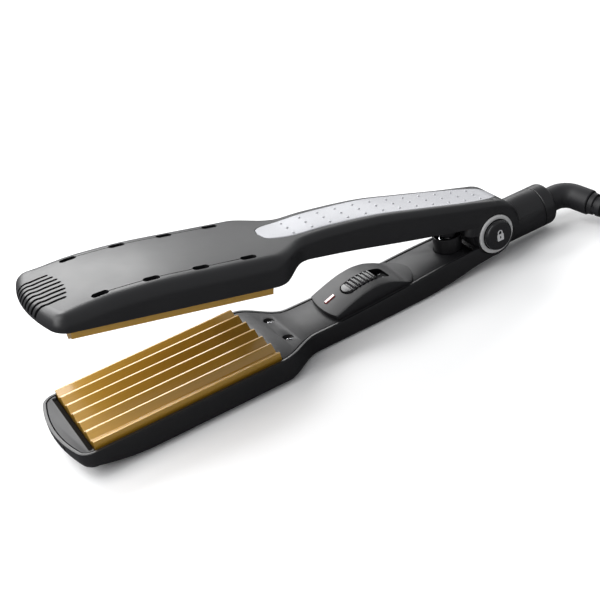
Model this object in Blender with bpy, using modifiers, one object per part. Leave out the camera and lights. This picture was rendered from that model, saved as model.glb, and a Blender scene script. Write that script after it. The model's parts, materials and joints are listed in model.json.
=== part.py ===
"""Hair crimper with interlocking corrugated plates, a push-through hinge lock and a swivel cord.

Everything is modelled in the frame of the lower heating plate: X runs from the nose to the
hinge, Y across the plates and Z up, with Z = 0 on the crests of the lower plate and X = 0 at the
plate's nose end. An empty carries that frame, so that the finished tool rests on Z = 0 of the
world with the middle of its footprint over the origin.
"""
import math

import bmesh
import bpy
from mathutils import Matrix, Vector

MM = 0.001

# ---------------------------------------------------------------- driving dimensions, millimetres
PLATE_LENGTH = 90.0
PLATE_WIDTH = 49.6
RIDGE_PITCH = 8.1
RIDGE_DEPTH = 2.6
EDGE_DROP = 0.8  # the outermost crest lies this much lower
PLATE_GAP = 0.7  # left between the two corrugations when the arms are closed
PLATE_BODY = 4.6  # under the valleys of a plate
HEATER_THICKNESS = 1.5
TRAY_THICKNESS = 1.8
TRAY_POST_RADIUS = 2.5
TRAY_POST_Y = 13.0
TRAY_POST_FRONT_X = 20.0
TRAY_POST_REAR_INSET = 8.0  # from the plate's hinge end
HEATER_INSET = 5.0  # all round, from the plate's edges
THERMOSTAT_SIZE = (14.0, 10.0, 3.0)

WALL = 1.6  # housings
FIT = 0.3  # clearance of every seat
SIDE_MARGIN = 2.5  # housing outside the plate, on each side
NOSE_LENGTH = 11.0  # housing ahead of the plate
NOSE_ARC_RADIUS = 75.0
NOSE_CORNER_RADIUS = 7.0
SHOULDER_LENGTH = 24.0  # from the wide head to the handle
HANDLE_HALF_WIDTH = 14.9
COVER_THICKNESS = 2.2
NOSE_COVER_THICKNESS = 1.4
NOSE_GROOVE_WIDTH = 1.2
NOSE_GROOVE_DEPTH = 0.8
NOSE_GROOVE_HALF_LENGTH = 24.0
NOSE_LIP = 0.7  # left between the groove and the plate
COVER_GAP = 0.5  # between a cover and the plate's end
COVER_STEP = 0.25  # the covers lie this much below the housing's rim

HINGE_X = 217.7
HINGE_Z = -0.3
OPENING_DEG = 12.9  # the arms stand open by this angle
FLOOR_Z = -18.0  # what the lower arm lies on

CHEEK_OUTER_Y = 13.4
CHEEK_THICKNESS = 3.2
UPPER_END_RADIUS = 16.2
LOWER_END_RADIUS = 12.5
EAR_RADIUS = 10.4
HUB_RADIUS = 10.5
TUBE_OUTER_RADIUS = 8.6
TUBE_WALL = 0.8
RING_RADIUS = 9.8
RING_THICKNESS = 1.0
BUTTON_PROUD = 3.2
BUTTON_LENGTH = 6.9
BUTTON_LAND = 0.2  # the far button stands this much out of its ring
LOCK_TRAVEL = 3.0
LOCK_SHAFT_RADIUS = 4.0

BARREL_RADIUS = 10.65
BARREL_Z = -5.2
BARREL_START_X = 227.0
BARREL_END_X = 255.0
CAP_CLEARANCE = 0.5  # between the barrel and the upper arm's round end
CAP_SWEEP_DEG = (-4.5, 62.0)  # what that end needs, from +X towards +Z
COLLAR_LENGTH = 7.6
SPIGOT_RADIUS = 6.0
SPIGOT_LENGTH = 9.0
ELBOW_RADIUS = 6.2
ELBOW_CORNER_X = 272.5
ELBOW_BEND_RADIUS = 9.0
ELBOW_BEND_DEG = 70.0
ELBOW_DROOP_DEG = 12.0
ELBOW_LEG = 14.0
RELIEF_LENGTH = 30.0
RELIEF_START_RADIUS = 5.6
RELIEF_END_RADIUS = 3.7
RELIEF_RIBS = 7
RELIEF_GROOVE = 0.9

CORD_RADIUS = 3.0
COIL_CENTRE = (343.0, -30.0)
LEAD_KNOTS = ((297.4, -59.0), (308.2, -66.8), (321.7, -72.6))
LEAD_JOIN_DEG = 262.0
COIL_INNER_RADIUS = 25.0
COIL_OUTER_RADIUS = 43.0
COIL_HEIGHT = 17.0
TIE_THICKNESS = 0.7
TIE_WIDTH = 6.0
TIE_DEG = 45.0
PLUG_LENGTH = 36.0
PLUG_WIDTH = 35.0
PLUG_THICKNESS = 13.6
PLUG_SETBACK = 20.0  # plug's rear behind the coil's middle
PLUG_OFFSET = 16.0  # plug's centre line beside the coil's middle
CORD_END_START_DEG = 80.0
CORD_END_STRAIGHT = 3.0
PIN_RADIUS = 2.0
PIN_LENGTH = 19.0
PIN_SPACING = 18.6

VENT_ROW_Y = 19.4
VENT_FIRST_X = 14.7
VENT_PITCH = 22.3
VENT_COUNT = 4
VENT_LENGTH = 7.4
VENT_WIDTH = 3.0
VENT_CUT_Z = 8.0  # their cutters start above the heaters and run out through the skin
SLIT_COUNT = 8
SLIT_PITCH = 3.35
SLIT_WIDTH = 1.4
SLIT_END_X = 5.8
SLIT_RISE = 1.2  # the slits stop this far from the rim
SLIT_ARC = 0.0175  # their tails lie on a shallow arc: setback per square of the distance from the middle
OUTSIDE_Z = 30.0  # past every skin
OUTSIDE_Y = 30.0

SCREW_SETBACK = 11.6  # from the plate's hinge end
SCREW_Y = 9.5
SCREW_HEAD_RADIUS = 2.3
SCREW_HEAD_DEPTH = 1.2
SCREW_SHANK_RADIUS = 1.2
SCREW_REACH = 7.0
SCREW_BOSS_RADIUS = 3.2
SCREW_CROSS = (1.4, 0.3, 0.5)  # half length, half width and depth of the cross slot

CUP_X = 198.5
CUP_RADIUS = 7.0
CUP_WALL = 0.8
CUP_TOP_Z = 2.8
CUP_BASE_Z = -8.9
BOSS_RADIUS = 5.0
BOSS_END_Z = -1.7  # with the arms closed
SPRING_RADIUS = 4.2
SPRING_WIRE = 1.0

POD_START_X = 124.8
POD_END_X = 174.0
POD_FRONT_BULGE = 1.9
POD_REAR_BULGE = 5.6
POD_HALF_WIDTH = 12.3
POD_TOP_X = 147.0
POD_TOP_Z = 3.0
POD_RISE = 8.4
POD_EDGE = 0.8  # least height of its ends over the cover
SLIDER_START_X = 136.5
SLIDER_LENGTH = 17.0
SLIDER_WIDTH = 9.0
SLIDER_Y = -1.6
SLIDER_TRAVEL = 5.0
SLIDER_PROUD = 1.0
SLIDER_RIB = 0.5
POCKET_DEPTH = 4.2
STEM_LENGTH = 4.0
STEM_WIDTH = 2.4
LENS_START_X = 126.4
LENS_LENGTH = 5.4
LENS_WIDTH = 2.2
LENS_PROUD = 0.5
LENS_DEPTH = 1.2
BOARD_START_X = 126.0
BOARD_LENGTH = 46.0
BOARD_WIDTH = 21.0
BOARD_THICKNESS = 1.6
SWITCH_LENGTH = 21.0
SWITCH_WIDTH = 10.0
SWITCH_HEIGHT = 2.6

INLAY_THICKNESS = 0.7
INLAY_PROUD = 0.1
INLAY_HEAD_STEPS = (0, 0.5, 1.2, 2.3, 4)  # stations close together at its start
INLAY_TAIL_STEPS = (3.5, 1.8, 0.6, 0)  # and at its end, counted back
INLAY_MIDDLE_MARGINS = (8.0, 6.0)  # the even stations between start and stop this far in
INLAY_MIDDLE_STATIONS = 14

# heights along the arm: the rim that the covers lie in, and the outer skin on the middle line
LOWER_RIM = [
    (-NOSE_LENGTH, -4.0), (PLATE_LENGTH + 2, -4.0), (PLATE_LENGTH + 22, -7.2), (125, -7.3), (155, -6.3),
    (190, -4.6), (206, -4.4),
]
LOWER_SKIN = [
    (-NOSE_LENGTH, -10.4), (-5, -12.9), (5, -15.5), (16, -17.4), (26, FLOOR_Z), (172, FLOOR_Z),
    (190, -16.6), (206, -13.9), (HINGE_X, HINGE_Z - LOWER_END_RADIUS),
]
LOWER_ROLL = [(PLATE_LENGTH, 6.5), (PLATE_LENGTH + 24, 3.2), (185, 3.0), (206, 2.2)]
UPPER_RIM = [
    (-NOSE_LENGTH, 4.6), (0, 3.9), (PLATE_LENGTH + 2, 3.9), (PLATE_LENGTH + 22, 7.5), (125, 7.4),
    (175, 5.4), (206, 4.3),
]
UPPER_SKIN = [
    (-NOSE_LENGTH, 9.8), (0, 12.0), (20, 15.6), (45, 17.2), (PLATE_LENGTH - 5, 17.4),
    (PLATE_LENGTH + 13, 17.7), (125, 19.8), (150, 20.8), (175, 19.9), (200, 17.9),
    (HINGE_X, HINGE_Z + UPPER_END_RADIUS),
]
UPPER_ROLL = [(PLATE_LENGTH, 6.5), (PLATE_LENGTH + 24, 4.0), (190, 3.8), (210, 3.2)]
UPPER_CROWN = [(PLATE_LENGTH + 10, 1.0), (206, 0.0)]  # the upper skin's fall from the middle to the sides
INLAY_HALF_WIDTH = [
    (PLATE_LENGTH + 5, 0.0), (PLATE_LENGTH + 6.2, 4.6), (PLATE_LENGTH + 8.6, 6.4), (PLATE_LENGTH + 19, 7.3),
    (160, 9.5), (205, 8.9), (217, 7.2), (222.5, 4.4), (225, 0.0),
]

# ------------------------------------------------------------------------------- derived sizes
HEAD_HALF_WIDTH = PLATE_WIDTH / 2 + SIDE_MARGIN
SCREW_X = PLATE_LENGTH + SCREW_SETBACK
NOSE_X = -NOSE_LENGTH
HANDLE_START_X = PLATE_LENGTH + SHOULDER_LENGTH
CHEEK_INNER_Y = CHEEK_OUTER_Y - CHEEK_THICKNESS
TUBE_INNER_RADIUS = TUBE_OUTER_RADIUS - TUBE_WALL
BORE_RADIUS = TUBE_OUTER_RADIUS + FIT
BUTTON_RADIUS = TUBE_INNER_RADIUS - FIT
RING_FACE_Y = CHEEK_OUTER_Y + FIT + RING_THICKNESS
LOWER_BACK_Z = -RIDGE_DEPTH - PLATE_BODY
UPPER_BACK_Z = PLATE_GAP + PLATE_BODY
COVER_END_X = HINGE_X - UPPER_END_RADIUS - FIT
TRAY_POSTS = [
    (x, y)
    for x in (TRAY_POST_FRONT_X, PLATE_LENGTH - TRAY_POST_REAR_INSET)
    for y in (-TRAY_POST_Y, TRAY_POST_Y)
]
STEM_X = SLIDER_START_X + SLIDER_LENGTH / 2
COIL_BASE_Z = FLOOR_Z + TIE_THICKNESS + FIT
COIL_TOP_Z = COIL_BASE_Z + COIL_HEIGHT

# ------------------------------------------------------------------------------------ materials
COLOURS = {
    "housing": ((0.022, 0.022, 0.025), 0.42, 0.0),
    "cover": ((0.028, 0.028, 0.032), 0.45, 0.0),
    "gold_plate": ((0.52, 0.32, 0.06), 0.28, 1.0),
    "inlay": ((0.68, 0.69, 0.72), 0.30, 0.6),
    "ring": ((0.55, 0.55, 0.55), 0.35, 0.7),
    "button": ((0.012, 0.012, 0.013), 0.30, 0.0),
    "rubber": ((0.018, 0.018, 0.020), 0.60, 0.0),
    "steel": ((0.62, 0.62, 0.64), 0.22, 1.0),
    "lens": ((0.75, 0.25, 0.22), 0.15, 0.0),
    "board": ((0.05, 0.22, 0.09), 0.50, 0.0),
    "heater": ((0.55, 0.52, 0.46), 0.55, 0.0),
    "pin_metal": ((0.70, 0.52, 0.24), 0.30, 1.0),
}


def material(name):
    """The Principled material of that name, made on first use."""
    found = bpy.data.materials.get(name)
    if found:
        return found
    colour, roughness, metallic = COLOURS[name]
    made = bpy.data.materials.new(name)
    made.use_nodes = True
    shader = made.node_tree.nodes["Principled BSDF"]
    shader.inputs["Base Color"].default_value = (*colour, 1.0)
    shader.inputs["Roughness"].default_value = roughness
    shader.inputs["Metallic"].default_value = metallic
    made.diffuse_color = (*colour, 1.0)
    return made


# ---------------------------------------------------------------------------- scene and helpers
def clear_scene():
    for item in list(bpy.data.objects):
        bpy.data.objects.remove(item, do_unlink=True)


def collection(name):
    made = bpy.data.collections.new(name)
    bpy.context.scene.collection.children.link(made)
    return made


def add_object(name, data, paint, parent, group=None):
    """Link an object with its material; parts go in the crimper's own collection."""
    made = bpy.data.objects.new(name, data)
    (group or PARTS).objects.link(made)
    made.parent = parent
    if paint:
        data.materials.append(material(paint))
    return made


def frame_on_axis(name, axis_point, turn_deg=0.0):
    """An empty on a joint's axis, and inside it one that carries the lower arm's frame along."""
    axis = add_object(name, None, None, ROOT)
    axis.location = Vector(axis_point) * MM
    axis.rotation_euler = (0, math.radians(turn_deg), 0)
    frame = add_object(f"{name}_frame", None, None, axis)
    frame.location = -Vector(axis_point) * MM
    return frame


def finish_bmesh(bm):
    """Turn a closed bmesh into a mesh with its faces pointing out and its round faces smooth."""
    bmesh.ops.recalc_face_normals(bm, faces=bm.faces)
    mesh = bpy.data.meshes.new("solid")
    bm.to_mesh(mesh)
    bm.free()
    mesh.shade_smooth()
    mesh.set_sharp_from_angle(angle=math.radians(35))
    return mesh


def box_mesh(low, high):
    """A box between two corners, given in any order."""
    bm = bmesh.new()
    bmesh.ops.create_cube(bm, size=1.0)
    size = [abs(b - a) * MM for a, b in zip(low, high)]
    centre = [(a + b) / 2 * MM for a, b in zip(low, high)]
    place = Matrix.Translation(centre) @ Matrix.Diagonal((*size, 1))
    bmesh.ops.transform(bm, matrix=place, verts=bm.verts)
    return finish_bmesh(bm)


def cylinder_mesh(radius, start, end, segments=32):
    """A cylinder from one centre point to another."""
    start, end = Vector(start) * MM, Vector(end) * MM
    axis = end - start
    turn = axis.to_track_quat("Z", "Y").to_matrix().to_4x4()
    bm = bmesh.new()
    bmesh.ops.create_cone(
        bm, cap_ends=True, segments=segments, radius1=radius * MM, radius2=radius * MM,
        depth=axis.length, matrix=Matrix.Translation((start + end) / 2) @ turn,
    )
    return finish_bmesh(bm)


def slab_mesh(outline, shift):
    """A flat outline of 3-D points, extruded along a vector."""
    bm = bmesh.new()
    face = bm.faces.new([bm.verts.new(Vector(point) * MM) for point in outline])
    grown = bmesh.ops.extrude_face_region(bm, geom=[face])
    moved = [item for item in grown["geom"] if isinstance(item, bmesh.types.BMVert)]
    bmesh.ops.translate(bm, vec=Vector(shift) * MM, verts=moved)
    return finish_bmesh(bm)


def spun_mesh(profile, start_deg, end_deg, steps):
    """A closed (radius, y) profile swept about the hinge; angles run from +X towards +Z."""
    start = math.radians(start_deg)
    bm = bmesh.new()
    corners = [
        bm.verts.new(Vector((HINGE_X + r * math.cos(start), y, HINGE_Z + r * math.sin(start))) * MM)
        for r, y in profile
    ]
    face = bm.faces.new(corners)
    bmesh.ops.spin(
        bm, geom=[face, *face.edges, *face.verts], cent=Vector((HINGE_X, 0, HINGE_Z)) * MM, axis=(0, -1, 0),
        angle=math.radians(end_deg - start_deg), steps=steps, use_duplicate=False,
    )
    return finish_bmesh(bm)


def turned(name, profile, paint, place, parent, steps=32):
    """A (radius, height) profile, listed from the top down, turned about the object's own Z."""
    mesh = bpy.data.meshes.new(name)
    closed = profile[0][0] > 0 and profile[-1][0] > 0
    count = len(profile)
    edges = [(k, (k + 1) % count) for k in range(count if closed else count - 1)]
    mesh.from_pydata([Vector((r, 0, z)) * MM for r, z in profile], edges, [])
    made = add_object(name, mesh, paint, parent)
    screw = made.modifiers.new("turn", "SCREW")
    screw.steps = screw.render_steps = steps
    screw.use_merge_vertices = True
    screw.merge_threshold = 0.00001
    screw.use_smooth_shade = True
    made.matrix_local = place
    return made


def ring_profile(outer, inner, half):
    """Section of a turned ring, listed from the top down."""
    return [(inner, half), (outer, half), (outer, -half), (inner, -half)]


def placed(centre, direction):
    """Where a turned piece goes: its Z along a direction, its origin at a centre."""
    turn = Vector(direction).to_track_quat("Z", "Y").to_matrix().to_4x4()
    return Matrix.Translation(Vector(centre) * MM) @ turn


def boolean(target, mesh, operation="DIFFERENCE"):
    """Cut or join with a mesh given in the frame of the target's parent."""
    tool = add_object("cutter", mesh, None, target.parent, CUTTERS)
    tool.hide_render = True
    tool.display_type = "WIRE"
    modifier = target.modifiers.new(operation.lower(), "BOOLEAN")
    modifier.operation = operation
    modifier.solver = "EXACT"
    modifier.object = tool


def tube(name, points, radius, paint, parent, sides=2):
    """A round cord along a poly line."""
    curve = bpy.data.curves.new(name, "CURVE")
    curve.dimensions = "3D"
    curve.bevel_depth = radius * MM
    curve.bevel_resolution = sides
    curve.use_fill_caps = True
    spline = curve.splines.new("POLY")
    spline.points.add(len(points) - 1)
    for point, place in zip(spline.points, points):
        point.co = (*(Vector(place) * MM), 1.0)
    return add_object(name, curve, paint, parent)


def smooth_curve(knots, x):
    """A smooth value through (x, value) knots: monotone cubic stretches, held beyond both ends."""
    if x <= knots[0][0]:
        return knots[0][1]
    if x >= knots[-1][0]:
        return knots[-1][1]
    index = max(i for i, (knot_x, _) in enumerate(knots[:-1]) if knot_x <= x)

    def rise(i):
        return (knots[i + 1][1] - knots[i][1]) / (knots[i + 1][0] - knots[i][0])

    def slope(i):
        if i == 0:
            return rise(0)
        if i == len(knots) - 1:
            return rise(i - 1)
        before, after = rise(i - 1), rise(i)
        return 0.0 if before * after <= 0 else 2 * before * after / (before + after)

    (x0, v0), (x1, v1) = knots[index], knots[index + 1]
    width = x1 - x0
    t = (x - x0) / width
    return (
        v0 * (2 * t**3 - 3 * t**2 + 1)
        + slope(index) * width * (t**3 - 2 * t**2 + t)
        + v1 * (3 * t**2 - 2 * t**3)
        + slope(index + 1) * width * (t**3 - t**2)
    )


def smooth_route(knots, per_span):
    """Points of a Catmull-Rom curve through the knots of a cord's route."""
    knots = [Vector(knot) for knot in knots]
    padded = [2 * knots[0] - knots[1], *knots, 2 * knots[-1] - knots[-2]]
    route = []
    for a, b, c, d in zip(padded, padded[1:], padded[2:], padded[3:]):
        for k in range(per_span):
            t = k / per_span
            route.append(0.5 * (2 * b + (c - a) * t + (2 * a - 5 * b + 4 * c - d) * t**2
                                + (3 * b - a - 3 * c + d) * t**3))
    return [*route, knots[-1]]


# -------------------------------------------------------------------------- form of the two arms
def half_width(x):
    """Half the arm's width behind the nose: the straight head, the shoulder, the slim handle."""
    if x <= PLATE_LENGTH:
        return HEAD_HALF_WIDTH
    if x < HANDLE_START_X:
        fall = (1 - math.cos(math.pi * (x - PLATE_LENGTH) / SHOULDER_LENGTH)) / 2
        return HEAD_HALF_WIDTH + (HANDLE_HALF_WIDTH - HEAD_HALF_WIDTH) * fall
    taper = [(HANDLE_START_X, HANDLE_HALF_WIDTH), (150, 14.7), (180, 14.0), (206, CHEEK_OUTER_Y)]
    return smooth_curve(taper, x)


def arm_half_outline():
    """The arm seen from above, from the nose's tip round one side to the hinge."""
    arc_x = NOSE_X + NOSE_ARC_RADIUS
    corner_y = HEAD_HALF_WIDTH - NOSE_CORNER_RADIUS
    corner_x = arc_x - math.sqrt((NOSE_ARC_RADIUS - NOSE_CORNER_RADIUS) ** 2 - corner_y**2)
    meet = math.atan2(corner_y, arc_x - corner_x)
    points = [
        (arc_x - NOSE_ARC_RADIUS * math.cos(meet * k / 4), NOSE_ARC_RADIUS * math.sin(meet * k / 4))
        for k in range(4)
    ]
    for k in range(6):
        angle = math.pi - meet - (math.pi / 2 - meet) * k / 5
        points.append((corner_x + NOSE_CORNER_RADIUS * math.cos(angle),
                       corner_y + NOSE_CORNER_RADIUS * math.sin(angle)))
    head = [corner_x + (PLATE_LENGTH - corner_x) * share for share in (0.09, 0.2, 0.36, 0.6, 0.85)]
    shoulder = [PLATE_LENGTH + SHOULDER_LENGTH * k / 7 for k in range(8)]
    handle = [HANDLE_START_X + (HINGE_X - HANDLE_START_X) * k / 8 for k in range(1, 9)]
    return points + [(x, half_width(x)) for x in head + shoulder + handle]


def outward(points, index):
    """A half outline's outward normal at one of its points."""
    if index == 0:
        return (-1.0, 0.0)
    if index == len(points) - 1:
        return (0.0, 1.0)
    (x0, y0), (x1, y1) = points[index - 1], points[index + 1]
    length = math.hypot(x1 - x0, y1 - y0)
    return (-(y1 - y0) / length, (x1 - x0) / length)


def inset(points, distance):
    """A half outline moved inwards by a distance."""
    moved = []
    for index, (x, y) in enumerate(points):
        nx, ny = outward(points, index)
        moved.append((x - nx * distance, y - ny * distance))
    return moved


def skin_height(skin, x, y):
    """Outer skin: flat across on the lower arm, falling a little towards the sides on the upper."""
    middle = smooth_curve(skin, x)
    if skin is LOWER_SKIN:
        return middle
    return middle - smooth_curve(UPPER_CROWN, x) * (y / half_width(x)) ** 2


def inner_face(skin, x):
    """The inside of a housing's skin on the middle line."""
    z = smooth_curve(skin, x)
    return z - math.copysign(WALL, z)


def housing(name, rim, skin, roll, up, parent):
    """A moulded housing: side walls on the outline, rolled over into a crowned skin."""
    outline = arm_half_outline()
    last = len(outline) - 1
    roll_steps, across = 3, 4
    verts, rows = [], []
    for index in range(-last, last + 1):
        side = -1 if index < 0 else 1
        x, y = outline[abs(index)]
        nx, ny = outward(outline, abs(index))
        rim_z = smooth_curve(rim, x)
        radius = smooth_curve(roll, x)
        top_z = skin_height(skin, x - nx * radius, y - ny * radius)
        radius = min(radius, 0.8 * abs(top_z - rim_z))
        top_z = skin_height(skin, x - nx * radius, y - ny * radius)
        row = [len(verts)]
        verts.append((x, side * y, rim_z))
        for step in range(roll_steps + 1):
            angle = math.pi / 2 * step / roll_steps
            inward = radius * (1 - math.cos(angle))
            row.append(len(verts))
            height = top_z - up * radius * (1 - math.sin(angle))
            verts.append((x - nx * inward, side * (y - ny * inward), height))
        rows.append(row)
    faces = []
    for before, after in zip(rows, rows[1:]):
        faces += list(zip(before, before[1:], after[1:], after))
    chords = []
    for index in range(last + 1):
        near, far = rows[last - index][-1], rows[last + index][-1]
        x, half = verts[far][0], verts[far][1]
        chord = [near]
        for k in range(1, across):
            y = -half + 2 * half * k / across
            chord.append(len(verts) if index else near)
            if index:
                verts.append((x, y, skin_height(skin, x, y)))
        chords.append([*chord, far])
    for before, after in zip(chords, chords[1:]):
        for a, b, c, d in zip(before, before[1:], after[1:], after):
            faces.append((a, d, c, b) if a != b else (a, d, c))
    if up < 0:
        faces = [tuple(reversed(face)) for face in faces]
    mesh = bpy.data.meshes.new(name)
    mesh.from_pydata([Vector(v) * MM for v in verts], [], faces)
    mesh.shade_smooth()
    mesh.set_sharp_from_angle(angle=math.radians(35))
    made = add_object(name, mesh, "housing", parent)
    solid = made.modifiers.new("wall", "SOLIDIFY")
    solid.thickness = WALL * MM
    solid.offset = -1.0
    solid.use_even_offset = True
    return made


def plank_mesh(half_outline, top, bottom, across=4):
    """A symmetric plate over a half outline, between two height functions of x and y."""
    bm = bmesh.new()
    tops, bottoms = [], []
    for x, half in half_outline:
        ys = [-half + 2 * half * k / across for k in range(across + 1)]
        tops.append([bm.verts.new(Vector((x, y, top(x, y))) * MM) for y in ys])
        bottoms.append([bm.verts.new(Vector((x, y, bottom(x, y))) * MM) for y in ys])
    for (top_a, top_b), (low_a, low_b) in zip(zip(tops, tops[1:]), zip(bottoms, bottoms[1:])):
        for k in range(across):
            bm.faces.new((top_a[k], top_b[k], top_b[k + 1], top_a[k + 1]))
            bm.faces.new((low_a[k], low_a[k + 1], low_b[k + 1], low_b[k]))
        bm.faces.new((top_a[0], low_a[0], low_b[0], top_b[0]))
        bm.faces.new((top_a[-1], top_b[-1], low_b[-1], low_a[-1]))
    for end in (0, -1):
        if half_outline[end][1] > 0:
            for k in range(across):
                bm.faces.new((tops[end][k], tops[end][k + 1], bottoms[end][k + 1], bottoms[end][k]))
    bmesh.ops.remove_doubles(bm, verts=bm.verts, dist=0.000001)
    return finish_bmesh(bm)


def stretch(half_outline, start_x, end_x):
    """The part of a half outline between two stations, cut square at both."""

    def width_at(x):
        for (x0, y0), (x1, y1) in zip(half_outline, half_outline[1:]):
            if x0 <= x <= x1 and x1 > x0:
                return y0 + (y1 - y0) * (x - x0) / (x1 - x0)
        return half_outline[-1][1]

    inner = [(x, y) for x, y in half_outline if start_x < x < end_x]
    first = [(start_x, width_at(start_x))] if start_x > half_outline[0][0] else []
    final = [(end_x, width_at(end_x))] if end_x < half_outline[-1][0] else []
    return first + inner + final


# ------------------------------------------------------------------------------ heating plates
def ridge_height(y):
    """The corrugation across a plate: straight flanks with softly rounded crests."""
    phase = (abs(y) % RIDGE_PITCH) / RIDGE_PITCH
    fall = 1 - abs(1 - 2 * phase)
    softened = 0.6 * fall + 0.4 * (1 - math.cos(math.pi * fall)) / 2
    outer = max(0.0, abs(y) - 2.5 * RIDGE_PITCH) / (0.5 * RIDGE_PITCH)
    return -RIDGE_DEPTH * softened - EDGE_DROP * min(outer, 1.0)


def heating_plate(name, lift, back_z, parent):
    """A corrugated aluminium plate whose flat back takes the heater."""
    half = PLATE_WIDTH / 2
    step = RIDGE_PITCH / 8
    count = int(half / step)
    ys = [-half, *[k * step for k in range(-count, count + 1)], half]
    outline = [(0, y, ridge_height(y) + lift) for y in ys]
    outline += [(0, half, back_z), (0, -half, back_z)]
    return add_object(name, slab_mesh(outline, (PLATE_LENGTH, 0, 0)), "gold_plate", parent)


def tray_back(back_z, up):
    """Where the tray's far face lies behind a plate."""
    return back_z + up * (FIT + HEATER_THICKNESS + FIT + TRAY_THICKNESS)


def heater_stack(prefix, back_z, up, parent):
    """Behind a plate: the flat heater, the tray that carries both, and the thermostat."""
    half = PLATE_WIDTH / 2 - 1
    heater_z = back_z + up * FIT
    heater_half = PLATE_WIDTH / 2 - HEATER_INSET
    heater = box_mesh((HEATER_INSET, -heater_half, heater_z),
                      (PLATE_LENGTH - HEATER_INSET, heater_half, heater_z + up * HEATER_THICKNESS))
    add_object(f"{prefix}_heater", heater, "heater", parent)
    tray_z = tray_back(back_z, up)
    tray = box_mesh((3, -half, tray_z - up * TRAY_THICKNESS), (PLATE_LENGTH, half, tray_z))
    add_object(f"{prefix}_plate_tray", tray, "cover", parent)
    length, width, height = THERMOSTAT_SIZE
    middle = PLATE_LENGTH / 2
    thermostat = box_mesh((middle - length / 2, -width / 2, tray_z + up * FIT),
                          (middle + length / 2, width / 2, tray_z + up * (FIT + height)))
    add_object(f"{prefix}_thermostat", thermostat, "steel", parent)


# ------------------------------------------------------------------------------ housing details
def obround(x, y, length, width, z):
    """A slot outline with round ends along X."""
    points = []
    for end in (1, -1):
        for k in range(6):
            angle = math.pi * (k / 5 - 0.5 * end)
            points.append((x + end * (length - width) / 2 + width / 2 * math.cos(angle),
                           y + width / 2 * math.sin(angle), z))
    return points


def open_vents(shell, rim, up):
    """Two rows of obround vents, and the slits that wrap over the nose."""
    low, high = up * VENT_CUT_Z, up * OUTSIDE_Z
    for y in (-VENT_ROW_Y, VENT_ROW_Y):
        for index in range(VENT_COUNT):
            x = VENT_FIRST_X + index * VENT_PITCH
            boolean(shell, slab_mesh(obround(x, y, VENT_LENGTH, VENT_WIDTH, low), (0, 0, high - low)))
    for index in range(SLIT_COUNT):
        y = (index - (SLIT_COUNT - 1) / 2) * SLIT_PITCH
        end_x = SLIT_END_X - SLIT_ARC * y * y
        bottom_z = smooth_curve(rim, NOSE_X) + up * SLIT_RISE
        boolean(shell, box_mesh((NOSE_X - NOSE_LENGTH, y - SLIT_WIDTH / 2, bottom_z),
                                (end_x, y + SLIT_WIDTH / 2, high)))


def add_posts(shell, skin, places, radius, top_z, segments=12):
    """Round posts that stand on the inside of a shell's skin and end at one height."""
    for x, y in places:
        foot_z = inner_face(skin, x)
        foot_z += math.copysign(WALL / 2, foot_z)
        boolean(shell, cylinder_mesh(radius, (x, y, foot_z), (x, y, top_z), segments), "UNION")


def screw_bosses(shell, rim, skin, up):
    """Bosses in a shell that the cover's screws bite into."""
    places = [(SCREW_X, y) for y in (-SCREW_Y, SCREW_Y)]
    top_z = smooth_curve(rim, SCREW_X + SCREW_BOSS_RADIUS) + up * (COVER_STEP + COVER_THICKNESS + FIT)
    add_posts(shell, skin, places, SCREW_BOSS_RADIUS, top_z, 16)
    for x, y in places:
        boolean(shell, cylinder_mesh(SCREW_SHANK_RADIUS + FIT, (x, y, top_z - up),
                                     (x, y, top_z + up * (SCREW_REACH - 1)), 12))


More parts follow.
